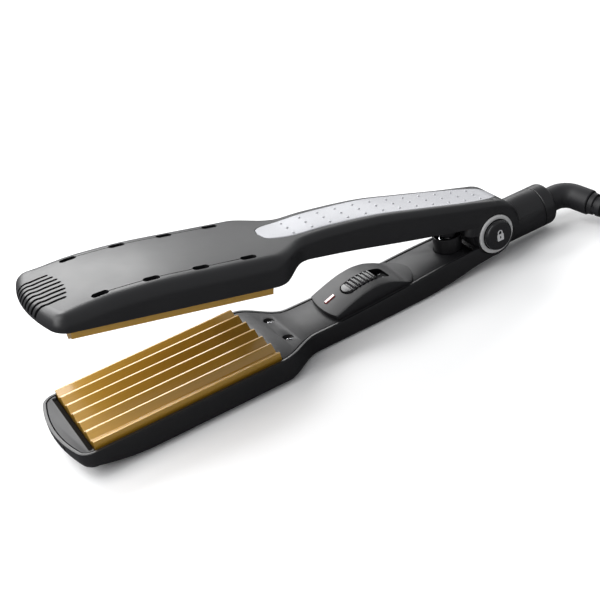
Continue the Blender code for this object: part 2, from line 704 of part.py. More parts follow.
def covers(prefix, rim, up, parent):
    """The two inner covers of an arm, the nose cap and the handle cover, and their screws.

    Gives the handle cover, which each arm cuts or adds to."""
    seat = inset(arm_half_outline(), WALL + FIT)

    def face(x, _):
        return smooth_curve(rim, x) + up * COVER_STEP

    def back_of(thickness):
        return lambda x, y: face(x, y) + up * thickness

    nose_end = -COVER_GAP
    nose = plank_mesh(stretch(seat, NOSE_X - NOSE_LENGTH, nose_end), face, back_of(NOSE_COVER_THICKNESS), 2)
    nose = add_object(f"{prefix}_nose_cover", nose, "cover", parent)
    groove_end = nose_end - NOSE_LIP
    groove_floor = face(nose_end, 0) + up * NOSE_GROOVE_DEPTH
    boolean(nose, box_mesh((groove_end - NOSE_GROOVE_WIDTH, -NOSE_GROOVE_HALF_LENGTH, groove_floor),
                           (groove_end, NOSE_GROOVE_HALF_LENGTH, 0)))
    handle_seat = stretch(seat, PLATE_LENGTH + COVER_GAP, COVER_END_X)
    handle = plank_mesh(handle_seat, face, back_of(COVER_THICKNESS), 1)
    handle = add_object(f"{prefix}_handle_cover", handle, "cover", parent)
    head_top = SCREW_HEAD_DEPTH - FIT
    half_slot, slot_width, slot_depth = SCREW_CROSS
    for index, y in enumerate((-SCREW_Y, SCREW_Y), start=1):
        surface = face(SCREW_X, y)
        seat_z = surface + up * SCREW_HEAD_DEPTH
        boolean(handle, cylinder_mesh(SCREW_HEAD_RADIUS + FIT, (SCREW_X, y, 0), (SCREW_X, y, seat_z), 20))
        boolean(handle, cylinder_mesh(SCREW_SHANK_RADIUS + FIT, (SCREW_X, y, surface),
                                      (SCREW_X, y, surface + up * SCREW_REACH), 12))
        profile = [(0, head_top), (SCREW_HEAD_RADIUS - 0.6, head_top), (SCREW_HEAD_RADIUS, head_top - 0.4),
                   (SCREW_HEAD_RADIUS, 0), (SCREW_SHANK_RADIUS, 0), (SCREW_SHANK_RADIUS, -SCREW_REACH),
                   (0, -SCREW_REACH - SCREW_SHANK_RADIUS / 2)]
        place = placed((SCREW_X, y, seat_z - up * FIT), (0, 0, -up))
        bolt = turned(f"{prefix}_screw_{index}", profile, "steel", place, parent, steps=12)
        top_z = seat_z - up * (FIT + head_top)
        for reach_x, reach_y in ((half_slot, slot_width), (slot_width, half_slot)):
            boolean(bolt, box_mesh((SCREW_X - reach_x, y - reach_y, top_z + up * slot_depth),
                                   (SCREW_X + reach_x, y + reach_y, top_z - up)))
    return handle


def hinge_cylinder(radius):
    """A cutter right through both arms along the hinge."""
    return cylinder_mesh(radius, (HINGE_X, -OUTSIDE_Y, HINGE_Z), (HINGE_X, OUTSIDE_Y, HINGE_Z), 48)


def rolled_corner(outer, roll):
    """A (radius, y) quarter round between an arm's round end and its cheek."""
    side = CHEEK_OUTER_Y
    quarter = [math.pi / 2 * k / 3 for k in range(4)]
    return [(outer - roll + roll * math.cos(a), side - roll + roll * math.sin(a)) for a in quarter]


# ------------------------------------------------------------------------------------- lower arm
def lower_face(x, _=0.0):
    return smooth_curve(LOWER_RIM, x) - COVER_STEP


def switch_top():
    """The switch body lies just under the handle cover, whose face rises towards the hinge."""
    return lower_face(STEM_X - SWITCH_LENGTH / 2) - COVER_THICKNESS - FIT


def lower_arm():
    shell = housing("lower_shell", LOWER_RIM, LOWER_SKIN, LOWER_ROLL, -1, ROOT)
    screw_bosses(shell, LOWER_RIM, LOWER_SKIN, -1)
    add_posts(shell, LOWER_SKIN, TRAY_POSTS, TRAY_POST_RADIUS, tray_back(LOWER_BACK_Z, -1) - FIT)
    board_posts = [(BOARD_START_X + 4, 0), (BOARD_START_X + BOARD_LENGTH - 4, 0)]
    board_back = switch_top() - SWITCH_HEIGHT - FIT - BOARD_THICKNESS
    add_posts(shell, LOWER_SKIN, board_posts, TRAY_POST_RADIUS, board_back - FIT)
    add_posts(shell, LOWER_SKIN, [(CUP_X, 0)], BOSS_RADIUS, CUP_BASE_Z - FIT, 16)
    inner = HUB_RADIUS + FIT
    half = [*rolled_corner(LOWER_END_RADIUS, LOWER_END_RADIUS - inner - 0.2), (inner, CHEEK_OUTER_Y)]
    cradle = half + [(r, -y) for r, y in reversed(half)]
    boolean(shell, spun_mesh(cradle, 206, 344, 14), "UNION")
    for side in (-1, 1):
        boolean(shell, cylinder_mesh(EAR_RADIUS + FIT, (HINGE_X, side * (CHEEK_INNER_Y - FIT), HINGE_Z),
                                     (HINGE_X, side * OUTSIDE_Y, HINGE_Z), 40))
    open_vents(shell, LOWER_RIM, -1)
    cover = covers("lower", LOWER_RIM, -1, ROOT)
    boolean(cover, cylinder_mesh(CUP_RADIUS + FIT, (CUP_X, 0, -OUTSIDE_Z), (CUP_X, 0, OUTSIDE_Z), 32))
    boolean(cover, stem_slot())
    heating_plate("lower_plate", 0.0, LOWER_BACK_Z, ROOT)
    heater_stack("lower", LOWER_BACK_Z, -1, ROOT)


# ------------------------------------------------------------------------------------- upper arm
def upper_top(x, y):
    """The upper arm's skin, and past the hinge the round end it runs into."""
    if x <= HINGE_X:
        return skin_height(UPPER_SKIN, x, y)
    return HINGE_Z + math.sqrt(UPPER_END_RADIUS**2 - (x - HINGE_X) ** 2)


def inlay_stations():
    start, end = INLAY_HALF_WIDTH[0][0], INLAY_HALF_WIDTH[-1][0]
    first, last = start + INLAY_MIDDLE_MARGINS[0], end - INLAY_MIDDLE_MARGINS[1]
    spans = INLAY_MIDDLE_STATIONS - 1
    middle = [first + (last - first) * k / spans for k in range(spans + 1)]
    head = [start + step for step in INLAY_HEAD_STEPS]
    tail = [end - step for step in INLAY_TAIL_STEPS]
    return head + middle + tail


def upper_arm(frame):
    shell = housing("upper_shell", UPPER_RIM, UPPER_SKIN, UPPER_ROLL, 1, frame)
    screw_bosses(shell, UPPER_RIM, UPPER_SKIN, 1)
    add_posts(shell, UPPER_SKIN, TRAY_POSTS, TRAY_POST_RADIUS, tray_back(UPPER_BACK_Z, 1) + FIT)
    inner, bore = HUB_RADIUS + 2 * FIT, BORE_RADIUS - 0.6
    corner = rolled_corner(UPPER_END_RADIUS, smooth_curve(UPPER_ROLL, HINGE_X))
    cheek = [*corner, (bore, CHEEK_OUTER_Y), (bore, CHEEK_INNER_Y)]
    half = [*cheek, (inner, CHEEK_INNER_Y)]
    start_deg = OPENING_DEG - 3
    boolean(shell, spun_mesh(half + [(r, -y) for r, y in reversed(half)], start_deg, 100, 10), "UNION")
    cheek.append((UPPER_END_RADIUS, CHEEK_INNER_Y))
    for side in (-1, 1):
        boolean(shell, spun_mesh([(r, side * y) for r, y in cheek], 95, 178, 10), "UNION")
        outer_y, inner_y = side * CHEEK_OUTER_Y, side * CHEEK_INNER_Y
        ear = [(EAR_RADIUS, outer_y), (EAR_RADIUS, inner_y), (bore, inner_y), (bore, outer_y)]
        boolean(shell, spun_mesh(ear, 172, 366 + start_deg, 20), "UNION")
    boolean(shell, hinge_cylinder(BORE_RADIUS))
    recess = [(x, smooth_curve(INLAY_HALF_WIDTH, x) + FIT) for x in inlay_stations()[1:-1]]
    recess = [(INLAY_HALF_WIDTH[0][0] - FIT, 0), *recess, (INLAY_HALF_WIDTH[-1][0] + FIT, 0)]
    sunk = INLAY_THICKNESS - INLAY_PROUD
    boolean(shell, plank_mesh(recess, lambda x, y: upper_top(x, y) + INLAY_THICKNESS,
                              lambda x, y: upper_top(x, y) - sunk - FIT))
    open_vents(shell, UPPER_RIM, 1)
    outline = [(x, smooth_curve(INLAY_HALF_WIDTH, x)) for x in inlay_stations()]
    inlay = plank_mesh(outline, lambda x, y: upper_top(x, y) + INLAY_PROUD,
                       lambda x, y: upper_top(x, y) - sunk)
    add_object("grip_inlay", inlay, "inlay", frame)
    cover = covers("upper", UPPER_RIM, 1, frame)
    boss_root = smooth_curve(UPPER_RIM, CUP_X) + COVER_STEP + COVER_THICKNESS / 2
    boolean(cover, cylinder_mesh(BOSS_RADIUS, (CUP_X, 0, BOSS_END_Z), (CUP_X, 0, boss_root), 24), "UNION")
    heating_plate("upper_plate", PLATE_GAP, UPPER_BACK_Z, frame)
    heater_stack("upper", UPPER_BACK_Z, 1, frame)
    for name, side in (("near_ring", -1), ("far_ring", 1)):
        centre = (HINGE_X, side * (RING_FACE_Y - RING_THICKNESS / 2), HINGE_Z)
        profile = ring_profile(RING_RADIUS, TUBE_INNER_RADIUS, RING_THICKNESS / 2)
        turned(name, profile, "ring", placed(centre, (0, side, 0)), frame, steps=32)


# --------------------------------------------------------------------------------------- hinge
def hinge_core():
    """Hub and pivot tube, both held by the lower arm; the upper arm's cheeks turn on the tube."""
    hub_half = CHEEK_INNER_Y - FIT - 0.1
    axis = placed((HINGE_X, 0, HINGE_Z), (0, 1, 0))
    turned("hinge_hub", ring_profile(HUB_RADIUS, BORE_RADIUS, hub_half), "cover", axis, ROOT)
    profile = ring_profile(TUBE_OUTER_RADIUS, TUBE_INNER_RADIUS, CHEEK_OUTER_Y - 0.2)
    turned("pivot_tube", profile, "steel", axis, ROOT)


def hinge_lock(frame):
    """Two buttons on one shaft inside the pivot tube; pressing the near one pushes the far one out."""
    near_face = -RING_FACE_Y - BUTTON_PROUD
    shaft_half = -near_face - BUTTON_LENGTH - FIT

    def button(name, face_y, side, length):
        edge = 0.8
        profile = [(0, length), (BUTTON_RADIUS - edge, length),
                   (BUTTON_RADIUS - edge * 0.3, length - edge * 0.3), (BUTTON_RADIUS, length - edge),
                   (BUTTON_RADIUS, 0), (0, 0)]
        centre = (HINGE_X, face_y - side * length, HINGE_Z)
        turned(name, profile, "button", placed(centre, (0, side, 0)), frame)

    button("lock_button", near_face, -1, BUTTON_LENGTH)
    far_face = RING_FACE_Y + BUTTON_LAND
    button("unlock_button", far_face, 1, far_face - shaft_half - FIT)
    shaft = [(0, shaft_half), (LOCK_SHAFT_RADIUS, shaft_half), (LOCK_SHAFT_RADIUS, -shaft_half),
             (0, -shaft_half)]
    turned("lock_shaft", shaft, "steel", placed((HINGE_X, 0, HINGE_Z), (0, 1, 0)), frame, steps=20)


def opened(x, z):
    """Where a point of the closed upper arm lies with the arms open."""
    angle = math.radians(OPENING_DEG)
    dx, dz = x - HINGE_X, z - HINGE_Z
    return (HINGE_X + dx * math.cos(angle) + dz * math.sin(angle),
            HINGE_Z - dx * math.sin(angle) + dz * math.cos(angle))


def spring_and_cup():
    """The cup on the lower handle, and the spring in it that pushes the arms apart."""
    inner = CUP_RADIUS - CUP_WALL
    height = CUP_TOP_Z - CUP_BASE_Z
    profile = [(0, CUP_WALL), (inner, CUP_WALL), (inner, height), (CUP_RADIUS, height), (CUP_RADIUS, 0),
               (0, 0)]
    turned("spring_cup", profile, "cover", placed((CUP_X, 0, CUP_BASE_Z), (0, 0, 1)), ROOT)
    foot = CUP_BASE_Z + CUP_WALL + FIT
    top = opened(CUP_X + BOSS_RADIUS, BOSS_END_Z)[1] - FIT
    profile = ring_profile(SPRING_RADIUS, SPRING_RADIUS - SPRING_WIRE, (top - foot) / 2)
    place = placed((CUP_X, 0, (top + foot) / 2), (0, 0, 1))
    turned("return_spring", profile, "steel", place, ROOT, steps=20)


# ---------------------------------------------------------------------------------- power switch
def pod_top(x, _=0.0):
    """The pod's arched roof, steeper towards the nose."""
    reach = POD_TOP_X - POD_START_X if x < POD_TOP_X else POD_END_X - POD_TOP_X - 1.5
    arch = POD_TOP_Z - POD_RISE * ((x - POD_TOP_X) / reach) ** 2
    return max(arch, lower_face(x) + POD_EDGE)


def stem_slot():
    """Room for the slider's stem through the pod's floor and the cover."""
    reach = STEM_LENGTH / 2 + FIT
    half = STEM_WIDTH / 2 + FIT
    return box_mesh((STEM_X - reach, SLIDER_Y - half, -OUTSIDE_Z),
                    (STEM_X + reach + SLIDER_TRAVEL, SLIDER_Y + half, 0))


def shifted(mesh, y):
    mesh.transform(Matrix.Translation((0, y * MM, 0)))
    return mesh


def power_switch(frame):
    front = [(POD_START_X + POD_FRONT_BULGE * (k / 3) ** 2, POD_HALF_WIDTH * k / 3) for k in range(4)]
    rear = [(POD_END_X - POD_REAR_BULGE * (k / 3) ** 2, POD_HALF_WIDTH * k / 3) for k in (3, 2, 1, 0)]
    straight = rear[0][0] - front[-1][0]
    sides = [(front[-1][0] + straight * k / 12, POD_HALF_WIDTH) for k in range(1, 12)]
    pod = plank_mesh(front + sides + rear, pod_top, lambda x, y: lower_face(x) + FIT, 2)
    pod = add_object("switch_pod", pod, "cover", ROOT)
    floor_z = POD_TOP_Z - POCKET_DEPTH
    half = SLIDER_WIDTH / 2
    pocket_end = SLIDER_START_X + SLIDER_LENGTH + SLIDER_TRAVEL + FIT
    boolean(pod, box_mesh((SLIDER_START_X - 2 * FIT, SLIDER_Y - half - FIT, floor_z),
                          (pocket_end, SLIDER_Y + half + FIT, OUTSIDE_Z)))
    boolean(pod, stem_slot())

    lens_end, lens_half = LENS_START_X + LENS_LENGTH, LENS_WIDTH / 2
    stations = [LENS_START_X + LENS_LENGTH * k / 4 for k in range(5)]
    lens = plank_mesh([(x, lens_half) for x in stations], lambda x, y: pod_top(x) + LENS_PROUD,
                      lambda x, y: pod_top(x) - LENS_DEPTH, 2)
    add_object("indicator_lens", shifted(lens, SLIDER_Y), "lens", ROOT)
    room = [LENS_START_X - FIT, *stations[1:-1], lens_end + FIT]
    room = plank_mesh([(x, lens_half + FIT) for x in room], lambda x, y: pod_top(x) + POCKET_DEPTH,
                      lambda x, y: pod_top(x) - LENS_DEPTH - FIT, 2)
    boolean(pod, shifted(room, SLIDER_Y))

    ribs = 5
    pitch = SLIDER_LENGTH / (2 * ribs + 4)
    outline = [(SLIDER_START_X, half - 2.2), (SLIDER_START_X + 0.6, half - 1.0), (SLIDER_START_X + 2, half)]
    outline += [(SLIDER_START_X + pitch * k, half) for k in range(3, 2 * ribs + 5)]

    def grip(x, _):
        step = round((x - SLIDER_START_X) / pitch)
        rib = SLIDER_RIB if step % 2 and 2 < step < 2 * ribs + 3 else 0.0
        return pod_top(x) + SLIDER_PROUD + rib

    slider = plank_mesh(outline, grip, lambda x, y: floor_z + FIT, 2)
    slider = add_object("slide_switch", shifted(slider, SLIDER_Y), "button", frame)
    stem_low = (STEM_X - STEM_LENGTH / 2, SLIDER_Y - STEM_WIDTH / 2, switch_top() + FIT)
    stem_high = (STEM_X + STEM_LENGTH / 2, SLIDER_Y + STEM_WIDTH / 2, floor_z + 2 * FIT)
    boolean(slider, box_mesh(stem_low, stem_high), "UNION")

    switch_z = switch_top() - SWITCH_HEIGHT
    switch = box_mesh((STEM_X - SWITCH_LENGTH / 2, -SWITCH_WIDTH / 2, switch_z),
                      (STEM_X + SWITCH_LENGTH / 2, SWITCH_WIDTH / 2, switch_top()))
    add_object("switch_body", switch, "heater", ROOT)
    board = box_mesh((BOARD_START_X, -BOARD_WIDTH / 2, switch_z - FIT - BOARD_THICKNESS),
                     (BOARD_START_X + BOARD_LENGTH, BOARD_WIDTH / 2, switch_z - FIT))
    add_object("control_board", board, "board", ROOT)


# --------------------------------------------------------------------------------- swivel and cord
def leg_direction():
    """The way the elbow sends the cord: out to the side and a little down."""
    bend, droop = math.radians(ELBOW_BEND_DEG), math.radians(ELBOW_DROOP_DEG)
    return Vector((math.cos(bend), -math.sin(bend) * math.cos(droop), -math.sin(bend) * math.sin(droop)))


def swivel(frame):
    start = placed((BARREL_START_X, 0, BARREL_Z), (1, 0, 0))
    length = BARREL_END_X - BARREL_START_X
    bore_floor = length - SPIGOT_LENGTH - FIT
    bore = SPIGOT_RADIUS + FIT
    profile = [(0, bore_floor), (bore, bore_floor), (bore, length), (BARREL_RADIUS, length),
               (BARREL_RADIUS, 0), (0, 0)]
    barrel = turned("swivel_barrel", profile, "housing", start, ROOT, steps=36)
    boolean(barrel, hinge_cylinder(LOWER_END_RADIUS + FIT))
    sweep = UPPER_END_RADIUS + CAP_CLEARANCE
    room = [(TUBE_WALL, -OUTSIDE_Y), (sweep, -OUTSIDE_Y), (sweep, OUTSIDE_Y), (TUBE_WALL, OUTSIDE_Y)]
    boolean(barrel, spun_mesh(room, CAP_SWEEP_DEG[0], CAP_SWEEP_DEG[1], 16))

    profile = [(0, COLLAR_LENGTH), (BARREL_RADIUS - 2.6, COLLAR_LENGTH),
               (BARREL_RADIUS - 0.9, COLLAR_LENGTH - 0.9), (BARREL_RADIUS, COLLAR_LENGTH - 2.6),
               (BARREL_RADIUS, FIT), (SPIGOT_RADIUS, FIT), (SPIGOT_RADIUS, FIT - SPIGOT_LENGTH),
               (0, FIT - SPIGOT_LENGTH)]
    seat = placed((BARREL_END_X, 0, BARREL_Z), (1, 0, 0))
    turned("swivel_collar", profile, "housing", seat, frame, steps=36)

    corner = Vector((ELBOW_CORNER_X, 0, BARREL_Z))
    along, leg = Vector((1, 0, 0)), leg_direction()
    bend = math.radians(ELBOW_BEND_DEG)
    inward = (leg - along * math.cos(bend)).normalized()
    tangent = ELBOW_BEND_RADIUS * math.tan(bend / 2)
    centre = corner - along * tangent + inward * ELBOW_BEND_RADIUS
    points = [(BARREL_END_X + COLLAR_LENGTH + FIT, 0, BARREL_Z)]
    for k in range(9):
        turn = bend * k / 8
        points.append(centre + ELBOW_BEND_RADIUS * (along * math.sin(turn) - inward * math.cos(turn)))
    points.append(corner + leg * ELBOW_LEG)
    tube("swivel_elbow", points, ELBOW_RADIUS, "rubber", frame, 4)

    profile = [(0, 0), (RELIEF_START_RADIUS, 0)]
    pitch = RELIEF_LENGTH / RELIEF_RIBS
    for k in range(RELIEF_RIBS):
        for share, sunk in ((0.5, 0), (0.58, 1), (0.92, 1), (1.0, 0)):
            reach = pitch * (k + share)
            radius = RELIEF_START_RADIUS + (RELIEF_END_RADIUS - RELIEF_START_RADIUS) * reach / RELIEF_LENGTH
            if reach < RELIEF_LENGTH:
                profile.append((radius - sunk * RELIEF_GROOVE, reach))
    profile += [(RELIEF_END_RADIUS - RELIEF_GROOVE, RELIEF_LENGTH), (0, RELIEF_LENGTH)]
    foot = corner + leg * (ELBOW_LEG + FIT)
    turned("strain_relief", profile[::-1], "rubber", placed(foot, leg), frame, steps=14)
    return foot + leg * (RELIEF_LENGTH + FIT + 0.1)


def on_coil(angle_deg, radius, z):
    angle = math.radians(angle_deg)
    return (COIL_CENTRE[0] + radius * math.cos(angle), COIL_CENTRE[1] + radius * math.sin(angle), z)


def cord(start):
    """The mains lead: a free stretch, the coil of what is left, its tie, and the plug on top."""
    lying_z = FLOOR_Z + CORD_RADIUS
    route = [start, start + leg_direction() * 9 + Vector((0, 0, 0.6)),
             *((x, y, lying_z) for x, y in LEAD_KNOTS),
             on_coil(LEAD_JOIN_DEG, COIL_OUTER_RADIUS + CORD_RADIUS + FIT + 0.2, lying_z)]
    points = [(x, y, max(z, lying_z)) for x, y, z in smooth_route(route, 2)]
    tube("power_cord", points, CORD_RADIUS, "rubber", ROOT)

    chamfer = 3.0
    half = COIL_HEIGHT / 2
    profile = [(COIL_INNER_RADIUS + chamfer, half), (COIL_OUTER_RADIUS - chamfer, half),
               (COIL_OUTER_RADIUS, half - chamfer), (COIL_OUTER_RADIUS, chamfer - half),
               (COIL_OUTER_RADIUS - chamfer, -half), (COIL_INNER_RADIUS + chamfer, -half),
               (COIL_INNER_RADIUS, chamfer - half), (COIL_INNER_RADIUS, half - chamfer)]
    middle_z = COIL_BASE_Z + half
    turned("cord_coil", profile, "rubber", placed((*COIL_CENTRE, middle_z), (0, 0, 1)), ROOT, steps=36)

    place = Matrix.Translation(Vector((*COIL_CENTRE, middle_z)) * MM)
    place = place @ Matrix.Rotation(math.radians(TIE_DEG), 4, "Z")
    near, far, tall = COIL_INNER_RADIUS - FIT, COIL_OUTER_RADIUS + FIT, half + FIT
    loop, hole = (
        box_mesh((near - grow, -wide, -tall - grow), (far + grow, wide, tall + grow))
        for grow, wide in ((TIE_THICKNESS, TIE_WIDTH / 2), (0, TIE_WIDTH))
    )
    for mesh in (loop, hole):
        mesh.transform(place)
    boolean(add_object("cord_tie", loop, "rubber", ROOT), hole)

    resting_z = COIL_TOP_Z + FIT + CORD_RADIUS
    rear = Vector((COIL_CENTRE[0] - PLUG_SETBACK, COIL_CENTRE[1] - PLUG_OFFSET,
                   COIL_TOP_Z + FIT + PLUG_THICKNESS / 2))
    run_radius = COIL_OUTER_RADIUS - CORD_RADIUS
    setback = PLUG_SETBACK + CORD_END_STRAIGHT
    bend = (run_radius**2 - setback**2 - PLUG_OFFSET**2) / (2 * (run_radius - PLUG_OFFSET))
    meet_deg = math.degrees(math.atan2(bend - PLUG_OFFSET, -setback))
    run = [on_coil(CORD_END_START_DEG + (meet_deg - CORD_END_START_DEG) * k / 6, run_radius, resting_z)
           for k in range(6)]
    for k in range(7):
        angle = math.radians(meet_deg + (270 - meet_deg) * k / 6)
        run.append((rear.x - CORD_END_STRAIGHT + bend * math.cos(angle),
                    rear.y + bend * (1 + math.sin(angle)),
                    smooth_curve([(0, resting_z), (1, rear.z)], k / 6)))
    tube("cord_end", [*run, rear], CORD_RADIUS, "rubber", ROOT)
    plug(rear)


def plug(rear):
    """A flat two-pin plug, modelled along X and laid on the coil."""
    place = Matrix.Translation(rear * MM)
    half, low = PLUG_WIDTH / 2, -PLUG_THICKNESS / 2
    side = [(FIT, 5.5), (10, 6.5), (17, half - 3), (21, half - 0.8), (25, half), (PLUG_LENGTH, half)]
    outline = [(x, y, low) for x, y in side] + [(x, -y, low) for x, y in reversed(side)]
    body = slab_mesh(outline, (0, 0, PLUG_THICKNESS))
    body.transform(place)
    body = add_object("plug_body", body, "rubber", ROOT)
    bevel = body.modifiers.new("edges", "BEVEL")
    bevel.width = 1.6 * MM
    bevel.segments = 2
    bevel.limit_method = "ANGLE"
    bevel.angle_limit = math.radians(50)
    for index, y in enumerate((-PIN_SPACING / 2, PIN_SPACING / 2), start=1):
        start = PLUG_LENGTH + FIT
        pin = [(0, PIN_LENGTH), (PIN_RADIUS - 0.8, PIN_LENGTH), (PIN_RADIUS, PIN_LENGTH - 1),
               (PIN_RADIUS, 0), (0, 0)]
        seat = place @ placed((start, y, 0), (1, 0, 0))
        turned(f"plug_pin_{index}", pin, "pin_metal", seat, ROOT, steps=14)


# ------------------------------------------------------------------------------------- assembly
CORD_PIECES = ("power_cord", "cord_coil", "cord_end", "cord_tie", "plug_body", "plug_pin_1", "plug_pin_2")


def stand_on_origin():
    """Move the frame so that the tool, without its cord, stands on the origin's floor."""
    bpy.context.view_layer.update()
    graph = bpy.context.evaluated_depsgraph_get()
    corners = []
    for item in PARTS.objects:
        if item.type == "EMPTY" or item.name in CORD_PIECES:
            continue
        shape = item.evaluated_get(graph)
        corners += [shape.matrix_world @ vertex.co for vertex in shape.to_mesh().vertices]
        shape.to_mesh_clear()
    low = [min(corner[axis] for corner in corners) for axis in range(3)]
    high = [max(corner[axis] for corner in corners) for axis in range(3)]
    ROOT.location = (-(low[0] + high[0]) / 2, -(low[1] + high[1]) / 2, -low[2])


clear_scene()
PARTS = collection("hair_crimper")
CUTTERS = collection("hair_crimper_cutters")
ROOT = add_object("lower_arm_frame", None, None, None)
lower_arm()
upper_arm(frame_on_axis("hinge_axis", (HINGE_X, 0, HINGE_Z), OPENING_DEG))
hinge_core()
hinge_lock(frame_on_axis("lock_axis", (HINGE_X, 0, HINGE_Z)))
spring_and_cup()
power_switch(frame_on_axis("slide_axis", (SLIDER_START_X, SLIDER_Y, POD_TOP_Z)))
cord(swivel(frame_on_axis("swivel_axis", (BARREL_END_X, 0, BARREL_Z))))
stand_on_origin()
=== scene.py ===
"""Hair crimper: fine pieces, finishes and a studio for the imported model, laid out as a Blender add-on.

The form functions count in millimetres in the lower plate's own frame: X runs from the plate's nose
end to the hinge, Y across the plates, and Z up from the crests of the lower plate. LOWER and UPPER
carry such a place to the world, UPPER with the arms standing open.
"""
import json
import math

import bpy
from mathutils import Matrix, Vector


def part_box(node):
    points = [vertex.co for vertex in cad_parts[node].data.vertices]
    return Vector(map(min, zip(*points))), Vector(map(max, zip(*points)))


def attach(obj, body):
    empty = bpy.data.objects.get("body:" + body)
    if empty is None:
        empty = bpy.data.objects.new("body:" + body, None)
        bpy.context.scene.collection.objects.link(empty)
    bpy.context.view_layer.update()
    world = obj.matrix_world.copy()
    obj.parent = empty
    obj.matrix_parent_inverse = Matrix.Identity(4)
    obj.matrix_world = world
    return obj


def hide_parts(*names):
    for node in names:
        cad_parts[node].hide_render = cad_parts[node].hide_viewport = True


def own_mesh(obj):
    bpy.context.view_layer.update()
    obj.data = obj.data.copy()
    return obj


bl_info = {
    "name": "Hair Crimper",
    "version": (1, 0, 0),
    "blender": (4, 5, 0),
    "location": "3D View > Sidebar > Crimper",
    "description": "Fine pieces, finishes and a studio for the packed hair crimper",
    "category": "Object",
}

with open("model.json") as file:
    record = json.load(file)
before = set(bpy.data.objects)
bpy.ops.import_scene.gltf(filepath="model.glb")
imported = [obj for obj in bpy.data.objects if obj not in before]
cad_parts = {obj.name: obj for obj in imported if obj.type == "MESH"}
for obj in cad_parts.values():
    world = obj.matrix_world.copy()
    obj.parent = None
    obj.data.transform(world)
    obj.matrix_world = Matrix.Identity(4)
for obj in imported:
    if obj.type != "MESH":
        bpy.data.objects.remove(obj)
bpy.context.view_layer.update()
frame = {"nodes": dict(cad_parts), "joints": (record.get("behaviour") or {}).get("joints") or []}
MM = 0.001

# ---------------------------------------------------------------------- places, from the frame
JOINTS = {joint["name"]: joint for joint in frame["joints"]}
PLATE_LOW, PLATE_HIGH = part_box("lower_plate")
PLATE_ORIGIN = Vector((PLATE_LOW.x, (PLATE_LOW.y + PLATE_HIGH.y) / 2, PLATE_HIGH.z))
HINGE = Vector(JOINTS["arm_close"]["pos_m"])
OPENING = math.radians(JOINTS["arm_close"]["range_deg"][1])
LOWER = Matrix.Translation(PLATE_ORIGIN)
UPPER = Matrix.Translation(HINGE) @ Matrix.Rotation(OPENING, 4, "Y") @ Matrix.Translation(-HINGE) @ LOWER
HINGE_X, _, HINGE_Z = (HINGE - PLATE_ORIGIN) / MM

# ------------------------------------------------------------------- sizes of the form, millimetres
PLATE_LENGTH = (PLATE_HIGH.x - PLATE_LOW.x) / MM
PLATE_WIDTH = (PLATE_HIGH.y - PLATE_LOW.y) / MM
RIDGE_PITCH = 8.1
RIDGE_DEPTH = 2.6
EDGE_DROP = 0.8
PLATE_GAP = 0.7
PLATE_BODY = 4.6
WALL = 1.6
FIT = 0.3
NOSE_LENGTH = 11.0
NOSE_ARC_RADIUS = 75.0
NOSE_CORNER_RADIUS = 7.0
SHOULDER_LENGTH = 24.0
HEAD_HALF_WIDTH = PLATE_WIDTH / 2 + 2.5
HANDLE_START_X = PLATE_LENGTH + SHOULDER_LENGTH
HANDLE_HALF_WIDTH = 14.9
FLOOR_Z = -18.0
CHEEK_OUTER_Y = 13.4
CHEEK_INNER_Y = 10.2
UPPER_END_RADIUS = 16.2
LOWER_END_RADIUS = 12.5
EAR_RADIUS = 10.4
HUB_RADIUS = 10.5
BORE_RADIUS = 8.9
RING_RADIUS = 9.8
RING_THICKNESS = 1.0
BUTTON_RADIUS = 7.5
BUTTON_PROUD = 2.4
VENT_ROW_Y = 19.4
VENT_FIRST_X = 14.7
VENT_PITCH = 22.0
VENT_COUNT = 4
VENT_LENGTH = 7.4
VENT_WIDTH = 3.3
SLIT_COUNT = 8
SLIT_PITCH = 3.35
SLIT_WIDTH = 1.6
SLIT_END_X = 5.8
SLIT_ARC = 0.0175
SLIT_RISE = 1.2
SCREW_X = PLATE_LENGTH + 11.6
SCREW_Y = 9.5
INLAY_THICKNESS = 0.7
INLAY_PROUD = 0.1
INSIDE = 8.0  # short of every skin
OUTSIDE = 30.0  # past every skin
ROUND_STEPS = 96
WELD_DISTANCE = 0.000002  # metres

SCREW_PROFILE = [
    (0, -6), (1.1, -6), (1.1, -1.1), (1.65, -1.1), (1.65, -0.85), (1.45, -0.5), (1.1, -0.24),
    (0.6, -0.06), (0, 0),
]
DOT_FIRST_X = 109.4
DOT_PITCH = 9.33
DOT_ROWS_Y = (5.0, -0.9, -6.7)
DOT_FLATNESS = 0.8

POD_START_X = 124.8
POD_END_X = 174.0
POD_HALF_WIDTH = 12.3
POD_CROWN = 0.8
POD_ARCH = [
    (POD_START_X, -6.3), (127, -5.3), (132, -3.5), (138, -1.6), (144, -0.2), (150, 0.3), (156, -0.4),
    (162, -2.5), (168, -5.1), (POD_END_X, -5.5),
]
SLIDER_Y = -1.6
POCKET_FLOOR = -2.6
MARKS_X = 158.4
LENS_PLACE = (130.4, 0.5, 5.4, 2.1)  # middle, length and width

BARREL_RADIUS = 10.65
BARREL_START_X = 227.0
BARREL_END_X = 251.4
BARREL_Z = -5.2
COLLAR_LENGTH = 7.6
ELBOW_RADIUS = 6.4
ELBOW_CORNER_X = 272.0
ELBOW_BEND_RADIUS = 9.0
ELBOW_BEND = math.radians(73.0)
ELBOW_DROOP = math.radians(9.5)
ELBOW_LEG = 15.5
RELIEF_LENGTH = 30.0
RELIEF_START_RADIUS = 5.6
RELIEF_END_RADIUS = 3.7

